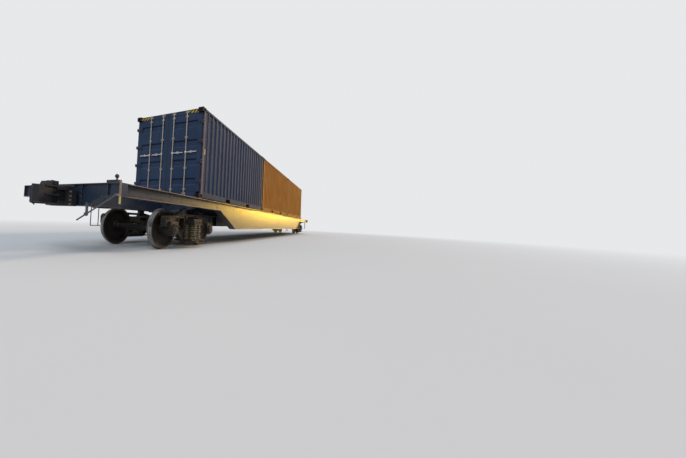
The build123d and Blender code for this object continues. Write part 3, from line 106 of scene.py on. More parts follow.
class Graph:
    """A material's node tree, with short calls that add and join its nodes."""

    def __init__(self, name):
        self.material = bpy.data.materials.new(name)
        self.material.use_nodes = True
        self.tree = self.material.node_tree
        self.shader = self.tree.nodes["Principled BSDF"]
        self.place = self.add("ShaderNodeTexCoord").outputs["Object"]
        axes = self.add("ShaderNodeSeparateXYZ")
        self.join(self.place, axes.inputs[0])
        self.x, self.y, self.z = axes.outputs

    def add(self, kind, **values):
        node = self.tree.nodes.new(kind)
        for key, value in values.items():
            setattr(node, key, value)
        return node

    def join(self, source, target):
        if isinstance(source, (int, float)):
            target.default_value = source
        elif isinstance(source, tuple):
            target.default_value = (*source, 1)
        else:
            self.tree.links.new(source, target)

    def math(self, operation, a, b=0.0):
        node = self.add("ShaderNodeMath", operation=operation)
        for value, target in zip((a, b), node.inputs):
            self.join(value, target)
        return node.outputs[0]

    def product(self, *values):
        """All the masks at once."""
        result = values[0]
        for value in values[1:]:
            result = self.math("MULTIPLY", result, value)
        return result

    def span(self, value, low, high, start=0.0, end=1.0):
        """A value taken from the span low..high to start..end, with soft ends."""
        node = self.add("ShaderNodeMapRange", interpolation_type="SMOOTHSTEP")
        for source, target in zip((value, low, high, start, end), node.inputs):
            self.join(source, target)
        return node.outputs[0]

    def band(self, value, low, high, soft):
        """1 between low and high, 0 outside, over a soft edge."""
        rise = self.span(value, low - soft, low + soft)
        fall = self.span(value, high - soft, high + soft, 1.0, 0.0)
        return self.product(rise, fall)

    def noise(self, scale, detail, roughness=0.55, stretch=(1, 1, 1), shift=(0, 0, 0)):
        """Noise from 0 to 1 in the piece's own space; a stretch below 1 draws it out along that axis."""
        mapping = self.add("ShaderNodeMapping")
        mapping.inputs["Scale"].default_value = stretch
        mapping.inputs["Location"].default_value = shift
        self.join(self.place, mapping.inputs["Vector"])
        node = self.add("ShaderNodeTexNoise")
        self.join(mapping.outputs[0], node.inputs["Vector"])
        node.inputs["Scale"].default_value = scale
        node.inputs["Detail"].default_value = detail
        node.inputs["Roughness"].default_value = roughness
        return node.outputs[0]

    def mix(self, factor, a, b):
        node = self.add("ShaderNodeMix", data_type="RGBA")
        self.join(factor, node.inputs[0])
        self.join(a, node.inputs[6])
        self.join(b, node.inputs[7])
        return node.outputs[2]

    def edges(self, radius):
        """1 along sharp edges, from how far a rounded normal leans from the face's own."""
        bevel = self.add("ShaderNodeBevel", samples=6)
        bevel.inputs["Radius"].default_value = radius
        flat = self.add("ShaderNodeNewGeometry").outputs["True Normal"]
        dot = self.add("ShaderNodeVectorMath", operation="DOT_PRODUCT")
        self.join(bevel.outputs[0], dot.inputs[0])
        self.join(flat, dot.inputs[1])
        return self.span(dot.outputs["Value"], 0.995, 0.90)

    def facing_up(self):
        """1 on faces that look up, where dust settles, and on the bogies where light from above is painted."""
        normal = self.add("ShaderNodeNewGeometry").outputs["True Normal"]
        axes = self.add("ShaderNodeSeparateXYZ")
        self.join(normal, axes.inputs[0])
        return self.span(axes.outputs[2], 0.35, 0.9)

    def along_box(self):
        """Distance from the door end's outer face, on any of the containers."""
        along = self.math("ADD", self.math("SUBTRACT", self.x, BOX_LOW[0].x), BOX_PITCH)
        return self.math("MODULO", along, BOX_PITCH)

    def bump(self, height, distance, strength):
        node = self.add("ShaderNodeBump")
        node.inputs["Distance"].default_value = distance
        node.inputs["Strength"].default_value = strength
        self.join(height, node.inputs["Height"])
        self.join(node.outputs[0], self.shader.inputs["Normal"])

    def finish(self, colour, roughness, metallic=0.0):
        self.join(colour, self.shader.inputs["Base Color"])
        self.join(roughness, self.shader.inputs["Roughness"])
        self.join(metallic, self.shader.inputs["Metallic"])
        return self.material


# Colours, as linear red, green and blue

RUST_DARK = (0.050, 0.018, 0.009)
RUST_LIGHT = (0.190, 0.070, 0.028)
DUST = (0.170, 0.135, 0.105)
# Worn primer on the frame's edges, partly a painted highlight on them
WORN_PRIMER_AND_HIGHLIGHT = (0.330, 0.190, 0.130)
ZINC = (0.42, 0.38, 0.29)
SAFETY_YELLOW = (0.66, 0.43, 0.05)
BLACK_PAINT = (0.012, 0.012, 0.014)
CAST_DARK = (0.012, 0.010, 0.009)
CAST_WARM = (0.030, 0.022, 0.017)
# Painted highlight for the castings' edges, with some wear
CAST_EDGE_HIGHLIGHT = (0.180, 0.120, 0.085)
# Brake dust that also paints light from above on upward faces
BRAKE_DUST_AND_TOP_LIGHT = (0.130, 0.095, 0.070)
OIL = (0.008, 0.007, 0.007)
END_DARK = (0.007, 0.009, 0.012)
END_LIGHT = (0.028, 0.031, 0.037)
WHEEL_DARK = (0.016, 0.012, 0.010)
WHEEL_BROWN = (0.042, 0.027, 0.019)
GREASE = (0.010, 0.008, 0.007)
TREAD_DULL = (0.20, 0.19, 0.18)
TREAD_BRIGHT = (0.38, 0.36, 0.34)
# Warm painted highlight on the door posts' sides
POST_HIGHLIGHT = (0.42, 0.27, 0.17)
# Warm painted highlight on the sills' flange edges
FLANGE_HIGHLIGHT = (0.250, 0.150, 0.105)
# Painted sunlight on the uncoupling handles: pale, and yellow at their tips
HANDLE_HIGHLIGHT = (0.240, 0.185, 0.150)
HANDLE_TIP_HIGHLIGHT = (0.56, 0.45, 0.14)
# Painted light: the levers' light blue-grey is how a sunlit bar looks
LEVER_PAINTED_LIGHT = (0.130, 0.130, 0.142)
SPANGLE_DARK = (0.32, 0.28, 0.21)
SPANGLE_LIGHT = (0.47, 0.42, 0.33)
HANDLE_ZINC = (0.68, 0.65, 0.58)
ZINC_STREAK = (0.20, 0.16, 0.11)
PLY_DARK = (0.16, 0.085, 0.04)
PLY_LIGHT = (0.33, 0.20, 0.105)
TAR_DARK = (0.012, 0.012, 0.013)
TAR_LIGHT = (0.040, 0.032, 0.027)
NAVY = (0.014, 0.025, 0.048)
NAVY_FADED = (0.022, 0.034, 0.058)
BOX_BLUE = (0.026, 0.045, 0.092)
BOX_BLUE_FADED = (0.037, 0.058, 0.110)
BOX_ORANGE = (0.355, 0.122, 0.013)
BOX_ORANGE_FADED = (0.420, 0.165, 0.025)
BACKDROP = (0.800, 0.810, 0.825)
FLOOR_PALE = ((0.70, 0.70, 0.71), (0.72, 0.72, 0.72))
FLOOR_BOUNCE = (0.22, 0.22, 0.23)

# How much of the dust's colour shows where it settles on paint
DUST_COVER = 0.25

# Painted areas, in metres: width of their soft edges, the stripes' repeat, their distance from the
# middle and from the container's top, and the plywood's height over the container's base
PAINT_EDGE = 0.001
STRIPE_PITCH = 0.11
STRIPES_INNER = 0.735
STRIPES_LOW = 0.104
STRIPES_HIGH = 0.018
FLOORING = 0.140

# Half sizes of the ground round the car that the floor's fade is measured from, and its distances
FOOTPRINT = (13.0, 1.5)
FADE_START = 3.5
FADE_END = 26.0


def scaled(colour, factor, lift=0.0):
    return tuple(factor * part + lift for part in colour)


def rust_colour(g):
    return g.mix(g.noise(38, 6), RUST_DARK, RUST_LIGHT)


def painted(name, colour, fade, rust=0.4, gloss=0.56, shine=0.12, edge=RUST_LIGHT, wear=0.006, mark=None):
    """Weathered paint: faded patches, rain streaks, rust, dust, and edges worn to another colour.

    rust is how much of it rusts, gloss its least roughness, shine its specular level, edge and wear
    the colour and width of its worn edges, which on the frame are partly a painted highlight, and mark
    a function that paints more on it.
    """
    g = Graph(name)
    patches = g.span(g.noise(0.9, 5, 0.6), 0.35, 0.70)
    coat = g.mix(patches, colour, fade)
    if mark is not None:
        coat = mark(g, coat)
    streaks = g.noise(3.0, 5, 0.62, stretch=(5.5, 5.5, 0.32))
    coat = g.mix(g.span(streaks, 0.50, 0.76, 0.0, 0.45), coat, scaled(colour, 0.45))
    fine = g.noise(150, 3)
    coat = g.mix(g.span(fine, 0.3, 0.7, 0.0, 0.08), coat, scaled(fade, 1.5, 0.01))
    spots = g.span(g.noise(17, 8, 0.68), 0.675 - 0.05 * rust, 0.71)
    drips = g.noise(5.2, 7, 0.7, stretch=(4.2, 4.2, 0.42), shift=(3.1, 0.7, 9.4))
    runs = g.span(drips, 0.67 - 0.06 * rust, 0.84)
    rusty = g.math("MAXIMUM", g.product(spots, rust), g.product(runs, 0.7 * rust))
    coat = g.mix(rusty, coat, rust_colour(g))
    chipped = g.product(g.edges(wear), g.span(g.noise(22, 5), 0.36, 0.56))
    coat = g.mix(g.product(chipped, 0.8), coat, edge)
    settled = g.product(g.facing_up(), g.span(g.noise(6, 6), 0.25, 0.75, 0.35, 1.0))
    coat = g.mix(g.product(settled, DUST_COVER), coat, DUST)
    rough = g.span(g.noise(30, 5), 0.2, 0.8, gloss, gloss + 0.2)
    rough = g.math("ADD", rough, g.product(rusty, 0.3))
    relief = g.math("ADD", g.product(g.noise(9, 3), 0.6), g.product(fine, 0.05))
    relief = g.math("SUBTRACT", relief, g.product(rusty, 0.18))
    g.bump(relief, 0.004, 0.5)
    g.shader.inputs["Specular IOR Level"].default_value = shine
    return g.finish(coat, rough)


def cast_iron():
    """Old casting: sand-cast grain, brake dust and painted top light on upward faces, edges lightened as painted
    highlights, oil, rust where the coat has gone; the couplers darker.
    """
    g = Graph("bogie_cast")
    coat = g.mix(g.span(g.noise(3.5, 6, 0.65), 0.32, 0.66), CAST_DARK, CAST_WARM)
    coat = g.mix(g.span(g.noise(14, 7, 0.7), 0.57, 0.69, 0.0, 0.55), coat, rust_colour(g))
    # Painted highlight with some wear: edges are lightened so the outlines of the frame's openings catch light
    worn = g.product(g.edges(0.007), g.span(g.noise(30, 4), 0.35, 0.6))
    coat = g.mix(g.product(worn, 0.7), coat, CAST_EDGE_HIGHLIGHT)
    # Dust and painted light: upward faces lighten, partly brake dust, partly light from above on the frame's top
    # chord
    settled = g.product(g.facing_up(), g.span(g.noise(8, 5), 0.3, 0.7, 0.25, 0.7))
    coat = g.mix(settled, coat, BRAKE_DUST_AND_TOP_LIGHT)
    end = g.span(g.math("ABSOLUTE", g.x), CAR_HALF - 0.25, CAR_HALF - 0.20, 0.0, 0.7)
    coat = g.mix(end, coat, g.mix(g.noise(20, 5), END_DARK, END_LIGHT))
    oil = g.span(g.noise(2.1, 5, 0.6, shift=(7.7, 2.0, 1.0)), 0.54, 0.70)
    coat = g.mix(g.product(oil, 0.6), coat, OIL)
    grain = g.noise(210, 4, 0.7)
    relief = g.math("ADD", g.product(grain, 0.30), g.product(g.noise(34, 4), 0.7))
    g.bump(relief, 0.0035, 0.8)
    rough = g.math("SUBTRACT", g.span(grain, 0.3, 0.7, 0.60, 0.75), g.product(oil, 0.3))
    return g.finish(coat, rough, 0.25)


def wheel_radius(g):
    """Distance from the wheel's own axle, for any of the four wheelsets."""
    along = g.math("ABSOLUTE", g.math("SUBTRACT", g.math("ABSOLUTE", g.x), PIVOT_X))
    along = g.math("SUBTRACT", along, AXLE_OFFSET)
    up = g.math("SUBTRACT", g.z, AXLE_Z)
    return g.math("SQRT", g.math("ADD", g.product(along, along), g.product(up, up)))


def wheel_steel():
    """Rolled wheel: dark rusty web and hub, brown rim faces, tread and flange polished by the rail."""
    g = Graph("wheel_steel")
    radius = wheel_radius(g)
    across = g.math("ABSOLUTE", g.y)
    body = g.mix(g.span(g.noise(9, 6, 0.65), 0.35, 0.65), WHEEL_DARK, WHEEL_BROWN)
    body = g.mix(g.span(g.noise(40, 5), 0.54, 0.72, 0.0, 0.5), body, RUST_DARK)
    grease = g.span(radius, 0.16, 0.22, 0.8, 0.0)
    body = g.mix(grease, body, GREASE)
    tread = g.product(g.span(radius, TREAD - 0.012, TREAD - 0.007), g.band(across, 0.752, 0.846, 0.004))
    lip = g.product(g.span(radius, TREAD - 0.004, TREAD + 0.004), g.span(across, 0.735, 0.765, 1.0, 0.0))
    bright = g.math("MAXIMUM", tread, g.product(lip, 0.6))
    rings = g.noise(60, 3, 0.6, stretch=(0.1, 6, 0.1))
    polished = g.mix(g.span(rings, 0.3, 0.7), TREAD_DULL, TREAD_BRIGHT)
    coat = g.mix(bright, body, polished)
    rough = g.math("SUBTRACT", g.span(g.noise(25, 4), 0.3, 0.7, 0.52, 0.72), g.product(bright, 0.34))
    g.bump(g.math("ADD", g.noise(120, 4), g.product(rings, 0.4)), 0.002, 0.5)
    return g.finish(coat, rough, g.math("MAXIMUM", g.product(bright, 0.95), 0.3))


def container_marks(g, coat):
    """Corner fittings painted near black, painted highlight on the posts' sides, bare zinc keepers of the rods."""
    along = g.along_box()
    near = g.span(along, CASTING.x, CASTING.x + PAINT_EDGE, 1.0, 0.0)
    far = g.span(along, BOX_LENGTH - CASTING.x - PAINT_EDGE, BOX_LENGTH - CASTING.x)
    ends = g.math("MAXIMUM", near, far)
    across = g.math("ABSOLUTE", g.y)
    # Painted highlight: the outer sides of the door posts at the door end turn warm gold, as low sun lights them
    outside = g.span(across, BOX_HALF - 0.006, BOX_HALF - 0.003)
    post_highlight = g.product(near, outside, g.span(g.noise(1.7, 5), 0.3, 0.6, 0.45, 0.8))
    coat = g.mix(post_highlight, coat, g.mix(0.5, coat, POST_HIGHLIGHT))
    sides = g.span(across, BOX_HALF - CASTING.y - PAINT_EDGE, BOX_HALF - CASTING.y)
    top = g.span(g.z, TOP_Z - CASTING.z - PAINT_EDGE, TOP_Z - CASTING.z)
    foot = g.span(g.z, BASE_Z + CASTING.z, BASE_Z + CASTING.z + PAINT_EDGE, 1.0, 0.0)
    coat = g.mix(g.product(ends, sides, g.math("MAXIMUM", top, foot)), coat, BLACK_PAINT)
    proud = g.span(along, DOOR_FACE - 0.001, DOOR_FACE - 0.0002, 1.0, 0.0)
    inside = g.span(across, ROD_PLACES[1] + 0.080, ROD_PLACES[1] + 0.081, 1.0, 0.0)
    return g.mix(g.product(proud, inside), coat, ZINC)


def hazard_stripes(g, coat):
    """Black and yellow slanted stripes at both ends of the door header."""
    stripe = g.math("FRACT", g.product(g.math("ADD", g.y, g.z), 1 / STRIPE_PITCH))
    black = g.band(stripe, 0.25, 0.75, 0.02)
    paint = g.mix(black, SAFETY_YELLOW, BLACK_PAINT)
    corner = g.band(g.math("ABSOLUTE", g.y), STRIPES_INNER, BOX_HALF - CASTING.y, 0.0005)
    high = g.band(g.z, TOP_Z - STRIPES_LOW, TOP_Z - STRIPES_HIGH, PAINT_EDGE)
    face = BOX_LOW[0].x + DOOR_FACE
    front = g.span(g.x, face + 0.001, face + 0.002, 1.0, 0.0)
    return g.mix(g.product(corner, high, front), coat, paint)


def frame_marks(g, coat):
    """Painted highlight on the outer edges of the sills' flanges, levers ahead of the end beam in a painted lit
    grey, their handles outside the sills in a painted sunlit pale with yellow tips, and black balls on the
    corners."""
    length = g.math("ABSOLUTE", g.x)
    across = g.math("ABSOLUTE", g.y)
    # Painted highlight: the outer edges of the sills' flanges turn warm pink, as low sun lights them
    flange = g.span(length, CAR_HALF - 0.21, CAR_HALF - 0.20, 1.0, 0.0)
    flange_highlight = g.product(flange, g.span(across, SILL_HALF - 0.0009, SILL_HALF - 0.0006))
    flange_highlight = g.product(flange_highlight, g.span(g.noise(2.6, 6), 0.30, 0.52, 0.35, 0.85))
    coat = g.mix(flange_highlight, coat, FLANGE_HIGHLIGHT)
    # Painted highlight: the handles outside the sills are pale and their tips yellow, as sunlight makes them look
    handle = g.span(across, SILL_HALF + 0.0001, SILL_HALF + 0.0003)
    tip_z = DECK_Z - SILL_SHALLOW
    tip = g.span(g.z, tip_z - 0.004, tip_z + 0.004, 1.0, 0.0)
    coat = g.mix(handle, coat, g.mix(tip, HANDLE_HIGHLIGHT, HANDLE_TIP_HIGHLIGHT))
    # Painted light: levers ahead of the end beam are a light blue-grey, as if sunlit, instead of the frame's navy
    ahead = g.span(length, CAR_HALF + 0.001, CAR_HALF + 0.002)
    coat = g.mix(g.product(ahead, g.math("SUBTRACT", 1.0, handle)), coat, LEVER_PAINTED_LIGHT)
    ball = g.span(g.z, DECK_Z + 0.050, DECK_Z + 0.053)
    return g.mix(ball, coat, BLACK_PAINT)


def galvanised():
    """Zinc-coated lock rods with spangle, streaks of dirt and rust, and their brighter handles."""
    g = Graph("galvanised")
    voronoi = g.add("ShaderNodeTexVoronoi")
    g.join(g.place, voronoi.inputs["Vector"])
    voronoi.inputs["Scale"].default_value = 90
    grey = g.mix(voronoi.outputs["Distance"], SPANGLE_DARK, SPANGLE_LIGHT)
    level = BASE_Z + HANDLE_LEVEL
    handles = g.band(g.z, level - 0.045, level + 0.045, 0.004)
    grey = g.mix(g.product(handles, 0.8), grey, HANDLE_ZINC)
    streak = g.noise(7, 5, 0.6, stretch=(4, 4, 0.5))
    coat = g.mix(g.span(streak, 0.52, 0.7, 0.0, 0.6), grey, ZINC_STREAK)
    coat = g.mix(g.span(g.noise(30, 6, 0.7), 0.6, 0.68, 0.0, 0.9), coat, rust_colour(g))
    g.bump(g.noise(160, 3), 0.0015, 0.4)
    return g.finish(coat, g.span(streak, 0.3, 0.7, 0.38, 0.58), 0.35)


def floor_boards():
    """Container underside: tarred cross members below, plywood above."""
    g = Graph("floor_boards")
    wood = g.mix(g.noise(12, 6, 0.6, stretch=(0.3, 5, 5)), PLY_DARK, PLY_LIGHT)
    tar = g.mix(g.noise(6, 5), TAR_DARK, TAR_LIGHT)
    deck = g.span(g.z, BASE_Z + FLOORING, BASE_Z + FLOORING + 0.003)
    g.bump(g.noise(70, 4, 0.6, stretch=(0.4, 4, 4)), 0.003, 0.6)
    return g.finish(g.mix(deck, tar, wood), g.span(g.noise(20, 4), 0.3, 0.7, 0.55, 0.8))


def plain_coat(name, dark, light, roughness):
    """Small trim of one stuff: slight mottling, grain and uneven gloss."""
    g = Graph(name)
    coat = g.mix(g.noise(25, 5), dark, light)
    g.bump(g.noise(90, 3), 0.001, 0.5)
    return g.finish(coat, g.span(g.noise(12, 4), 0.3, 0.7, roughness - 0.1, roughness + 0.1))


def studio_floor():
    """Pale floor that turns into the backdrop's own colour far from the car.

    It is darker to bounced light than to the camera, so it lights the car little from below.
    """
    g = Graph("studio_floor")
    path = g.add("ShaderNodeLightPath")
    seen = g.math("MAXIMUM", path.outputs["Is Camera Ray"], path.outputs["Is Glossy Ray"])
    pale = g.mix(g.noise(0.35, 3), *FLOOR_PALE)
    g.finish(g.mix(seen, FLOOR_BOUNCE, pale), 0.9)
    g.shader.inputs["Specular IOR Level"].default_value = 0.0
    plain = g.add("ShaderNodeEmission")
    plain.inputs["Color"].default_value = (*BACKDROP, 1)
    beyond_x = g.math("MAXIMUM", g.math("SUBTRACT", g.math("ABSOLUTE", g.x), FOOTPRINT[0]), 0.0)
    beyond_y = g.math("MAXIMUM", g.math("SUBTRACT", g.math("ABSOLUTE", g.y), FOOTPRINT[1]), 0.0)
    away = g.math("SQRT", g.math("ADD", g.product(beyond_x, beyond_x), g.product(beyond_y, beyond_y)))
    far = g.span(away, FADE_START, FADE_END)
    blend = g.add("ShaderNodeMixShader")
    g.join(g.product(far, seen), blend.inputs[0])
    g.join(g.shader.outputs[0], blend.inputs[1])
    g.join(plain.outputs[0], blend.inputs[2])
    g.join(blend.outputs[0], g.tree.nodes["Material Output"].inputs["Surface"])
    return g.material


def blue_container_marks(g, coat):
    return hazard_stripes(g, container_marks(g, coat))


MATERIALS = {
    # The frame's chipped edges in pale primer are partly wear and partly a painted highlight on its edges
    "frame_blue": painted(
        "frame_blue", NAVY, NAVY_FADED, gloss=0.23, shine=0.5, edge=WORN_PRIMER_AND_HIGHLIGHT, wear=0.007, mark=frame_marks
    ),
    "bogie_cast": cast_iron(),
    "wheel_steel": wheel_steel(),
    "container_blue": painted("container_blue", BOX_BLUE, BOX_BLUE_FADED, mark=blue_container_marks),
    "container_orange": painted(
        "container_orange", BOX_ORANGE, BOX_ORANGE_FADED, rust=0.5, mark=container_marks
    ),
    "galvanised": galvanised(),
    "floor_boards": floor_boards(),
    "rubber": plain_coat("door_gasket", (0.008, 0.008, 0.009), (0.024, 0.023, 0.022), 0.62),
    "yellow_plate": plain_coat("yellow_plate", (0.46, 0.31, 0.05), (0.58, 0.41, 0.08), 0.6),
    # The springs' greyish yellow is dark steel with a painted highlight of low sun on the coils
    "spring_steel_painted_highlight": plain_coat("spring_steel_painted_highlight", (0.075, 0.060, 0.035), (0.230, 0.190, 0.100), 0.5),
}


def dress_nodes():
    """Every CAD node gets the material of its slot in the record."""
    slots = {part["node"]: part["material_slot"] for part in frame["record"]["subparts"]}
    for name, node in NODES.items():
        node.data.materials.clear()
        node.data.materials.append(MATERIALS[slots[name]])


# Small mesh pieces


def new_piece(name, vertices, faces, material, body, smooth=False):
    mesh = bpy.data.meshes.new(name)
    mesh.from_pydata(vertices, [], faces)
    mesh.update()
    mesh.materials.append(MATERIALS[material])
    if smooth:
        mesh.shade_smooth()
    else:
        mesh.shade_flat()
    piece = bpy.data.objects.new(name, mesh)
    bpy.context.scene.collection.objects.link(piece)
    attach(piece, body)
    return piece


class Shape:
    """Vertices and faces gathered from many small forms into one piece."""

    def __init__(self):
        self.vertices = []
        self.faces = []

    def loft(self, rings):
        """Closed skin over rings of equally many points."""
        start = len(self.vertices)
        count = len(rings[0])
        for ring in rings:
            self.vertices += [tuple(point) for point in ring]
        for level in range(len(rings) - 1):
            for index in range(count):
                a = start + level * count + index
                b = start + level * count + (index + 1) % count
                self.faces.append((a, b, b + count, a + count))
        last = start + (len(rings) - 1) * count
        self.faces.append(tuple(start + count - 1 - index for index in range(count)))
        self.faces.append(tuple(last + index for index in range(count)))

    def turned_form(self, origin, direction, profile, sides):
        """Form turned about a line: profile has the columns distance along it and radius."""
        turn = Vector(direction).to_track_quat("Z", "Y").to_matrix()
        rings = []
        for along, radius in profile:
            ring = []
            for index in range(sides):
                angle = 2 * math.pi * index / sides
                spot = Vector((radius * math.cos(angle), radius * math.sin(angle), along))
                ring.append(Vector(origin) + turn @ spot)
            rings.append(ring)
        self.loft(rings)

    def bolt(self, origin, direction, size):
        """Hexagon head with a chamfered top, its washer and the bolt's end, as shares of its size."""
        self.turned_form(origin, direction, [(-0.001, size * 0.72), (size * 0.12, size * 0.72)], 16)
        head = [(size * 0.1, size * 0.52), (size * 0.52, size * 0.52), (size * 0.62, size * 0.42)]
        self.turned_form(origin, direction, head, 6)
        end = [(size * 0.6, size * 0.27), (size * 0.95, size * 0.27), (size * 1.0, size * 0.2)]
        self.turned_form(origin, direction, end, 10)

    def rivet(self, origin, direction, size):
        """Domed rivet head, as shares of its size."""
        dome = [(size * along, size * radius) for along, radius in ((0.12, 0.49), (0.26, 0.38), (0.34, 0.18))]
        self.turned_form(origin, direction, [(-0.001, size * 0.5), *dome], 12)

    def tube(self, points, radius, sides=8, ripple=0.0):
        """Round bar along a line of points; ripple makes it swell from ring to ring as a weld does."""
        rings = []
        side = None
        for index, point in enumerate(points):
            before = points[max(index - 1, 0)]
            after = points[min(index + 1, len(points) - 1)]
            ahead = (after - before).normalized()
            if side is None:
                side = ahead.orthogonal().normalized()
            side = (side - ahead * side.dot(ahead)).normalized()
            other = ahead.cross(side)
            size = radius * (1 + ripple * math.sin(2.4 * index) * math.cos(0.7 * index))
            ring = []
            for step in range(sides):
                angle = 2 * math.pi * step / sides
                ring.append(point + size * (math.cos(angle) * side + math.sin(angle) * other))
            rings.append(ring)
        self.loft(rings)

    def weld(self, start, end, radius=0.006):
        """Bead of weld between two points."""
        start, end = Vector(start), Vector(end)
        steps = max(2, int((end - start).length / 0.06))
        self.tube([start.lerp(end, step / steps) for step in range(steps + 1)], radius, 6, 0.25)

    def slab(self, low, high, cut=0.0):
        """Box between two corners, its upright edges cut back."""
        ring = []
        for x, y, ax, ay, bx, by in (
            (low[0], low[1], 0, 1, 1, 0),
            (high[0], low[1], -1, 0, 0, 1),
            (high[0], high[1], 0, -1, -1, 0),
            (low[0], high[1], 1, 0, 0, -1),
        ):
            ring.append((x + ax * cut, y + ay * cut))
            ring.append((x + bx * cut, y + by * cut))
        self.loft([[(x, y, z) for x, y in ring] for z in (low[2], high[2])])

    def plate(self, middle, across, up, size, cut=0.008):
        """Flat plate with cut corners and a bevelled front; size is its width, height and thickness."""
        middle, across, up = Vector(middle), Vector(across), Vector(up)
        out = across.cross(up)
        width, height, thickness = size
        bevel = min(0.002, thickness / 2)
        rings = []
        for inset, depth in ((0.0, -0.001), (0.0, thickness - bevel), (bevel, thickness)):
            a = width / 2 - inset
            b = height / 2 - inset
            corners = [(a, cut - b), (a, b - cut), (a - cut, b), (cut - a, b)]
            corners += [(-u, -v) for u, v in corners]
            rings.append([middle + u * across + v * up + depth * out for u, v in corners])
        self.loft(rings)

    def repeat(self, place, mirrored):
        """Adds every form once more at another place."""
        count = len(self.vertices)
        self.vertices += [place(*vertex) for vertex in self.vertices]
        for face in list(self.faces):
            moved = [index + count for index in face]
            self.faces.append(tuple(reversed(moved)) if mirrored else tuple(moved))

    def other_side(self):
        self.repeat(lambda x, y, z: (x, -y, z), True)

    def other_end(self):
        self.repeat(lambda x, y, z: (-x, -y, z), False)

    def piece(self, name, material, body, smooth=False):
        return new_piece(name, self.vertices, self.faces, material, body, smooth)


# Bogies

# Points in a coil's turn, turns at each end that lie nearly flat, and their pitch beside an even coil's
COIL_STEPS = 18
COIL_FLAT_TURNS = 0.75
COIL_FLAT_RISE = 0.25
SPRING_TURNS = 8
SPRING_WIRE = 0.015
SPRING_ROW = 0.178
SPRING_PLAY = 0.003
# The inner coil's radius, wire and turns, as shares of the outer one's
INNER_RADIUS = 0.52
INNER_WIRE = 0.7
INNER_TURNS = 1.5
# Places in a nest, in pitches along and rows across
SPRING_PLACES = ((-0.5, -1), (0.5, -1), (-1, 0), (0, 0), (1, 0), (-0.5, 1), (0.5, 1))
# Places on a bogie: along it from its middle, across from the car's middle, up from the axles
COVER_CIRCLE = 0.100
WEAR_PLATE_X = 0.355
WEAR_PLATE_LEVELS = (0.055, 0.125, 0.195)
FRAME_BOSS_X = 1.105
FRAME_BOSS_RISE = 0.262
BOLSTER_RISE = 0.2415
SHOE_X = 0.402
HANGER_Y = 0.874


def coil(shape, foot, height, radius, wire, turns, start):
    """Round-wire compression spring whose end turns lie nearly flat."""
    steps = int(turns * COIL_STEPS)
    flat = COIL_FLAT_TURNS / turns
    points = []
    for step in range(steps + 1):
        share = step / steps
        angle = start + 2 * math.pi * turns * share
        if share < flat:
            rise = COIL_FLAT_RISE * share
        elif share > 1 - flat:
            rise = 1 - COIL_FLAT_RISE * (1 - share)
        else:
            slope = (1 - 2 * COIL_FLAT_RISE * flat) / (1 - 2 * flat)
            rise = COIL_FLAT_RISE * flat + (share - flat) * slope
        z = wire + rise * (height - 2 * wire)
        points.append(foot + Vector((radius * math.cos(angle), radius * math.sin(angle), z)))
    shape.tube(points, wire)


def bogie_springs(name, centre):
    """Seven double coil springs in each side frame, where the CAD's plain ones stand."""
    low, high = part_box(f"bogie_{name}_springs")
    height = high.z - low.z
    outer = (high.x - low.x) / 6 - SPRING_PLAY
    pitch = (high.x - low.x - 2 * outer) / 2
    seat_y = high.y - SPRING_ROW - outer
    inner_wire = SPRING_WIRE * INNER_WIRE
    shape = Shape()
    for side in (1, -1):
        for step_x, step_y in SPRING_PLACES:
            foot = Vector((centre + step_x * pitch, side * (seat_y + step_y * SPRING_ROW), low.z))
            inward = -side * math.pi / 2
            coil(shape, foot, height, outer - SPRING_WIRE, SPRING_WIRE, SPRING_TURNS, inward)
            coil(shape, foot, height, outer * INNER_RADIUS, inner_wire, SPRING_TURNS * INNER_TURNS, -inward)
    # The coils take the dark steel with its painted yellow highlight
    piece = shape.piece(f"bogie_{name}_coils", "spring_steel_painted_highlight", f"bogie_{name}", smooth=True)
    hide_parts(f"bogie_{name}_springs")


def bogie_bolts(name, centre):
    """Bolts of the axlebox covers, rivets of the column's wear plates, and bosses on the frame's ends."""
    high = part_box(f"bogie_{name}_axleboxes")[1]
    cap = [(-0.001, 0.034), (0.006, 0.034), (0.010, 0.028)]
    boss = [(-0.001, 0.046), (0.014, 0.043), (0.018, 0.036), (0.006, 0.024)]
    shape = Shape()
    for way in (1, -1):
        x = centre + way * AXLE_OFFSET
        for index in range(8):
            angle = math.pi * (index + 0.5) / 4
            rise = COVER_CIRCLE * math.sin(angle)
            shape.bolt((x + COVER_CIRCLE * math.cos(angle), high.y - 0.012, AXLE_Z + rise), ACROSS, 0.026)
        shape.turned_form((x, high.y, AXLE_Z), ACROSS, cap, 20)
        for level in WEAR_PLATE_LEVELS:
            shape.rivet((centre + way * WEAR_PLATE_X, FRAME_FACE - 0.026, AXLE_Z + level), ACROSS, 0.034)
        spot = (centre + way * FRAME_BOSS_X, FRAME_FACE, AXLE_Z + FRAME_BOSS_RISE)
        shape.turned_form(spot, ACROSS, boss, 20)
    shape.other_side()
    shape.piece(f"bogie_{name}_bolts", "bogie_cast", f"bogie_{name}")


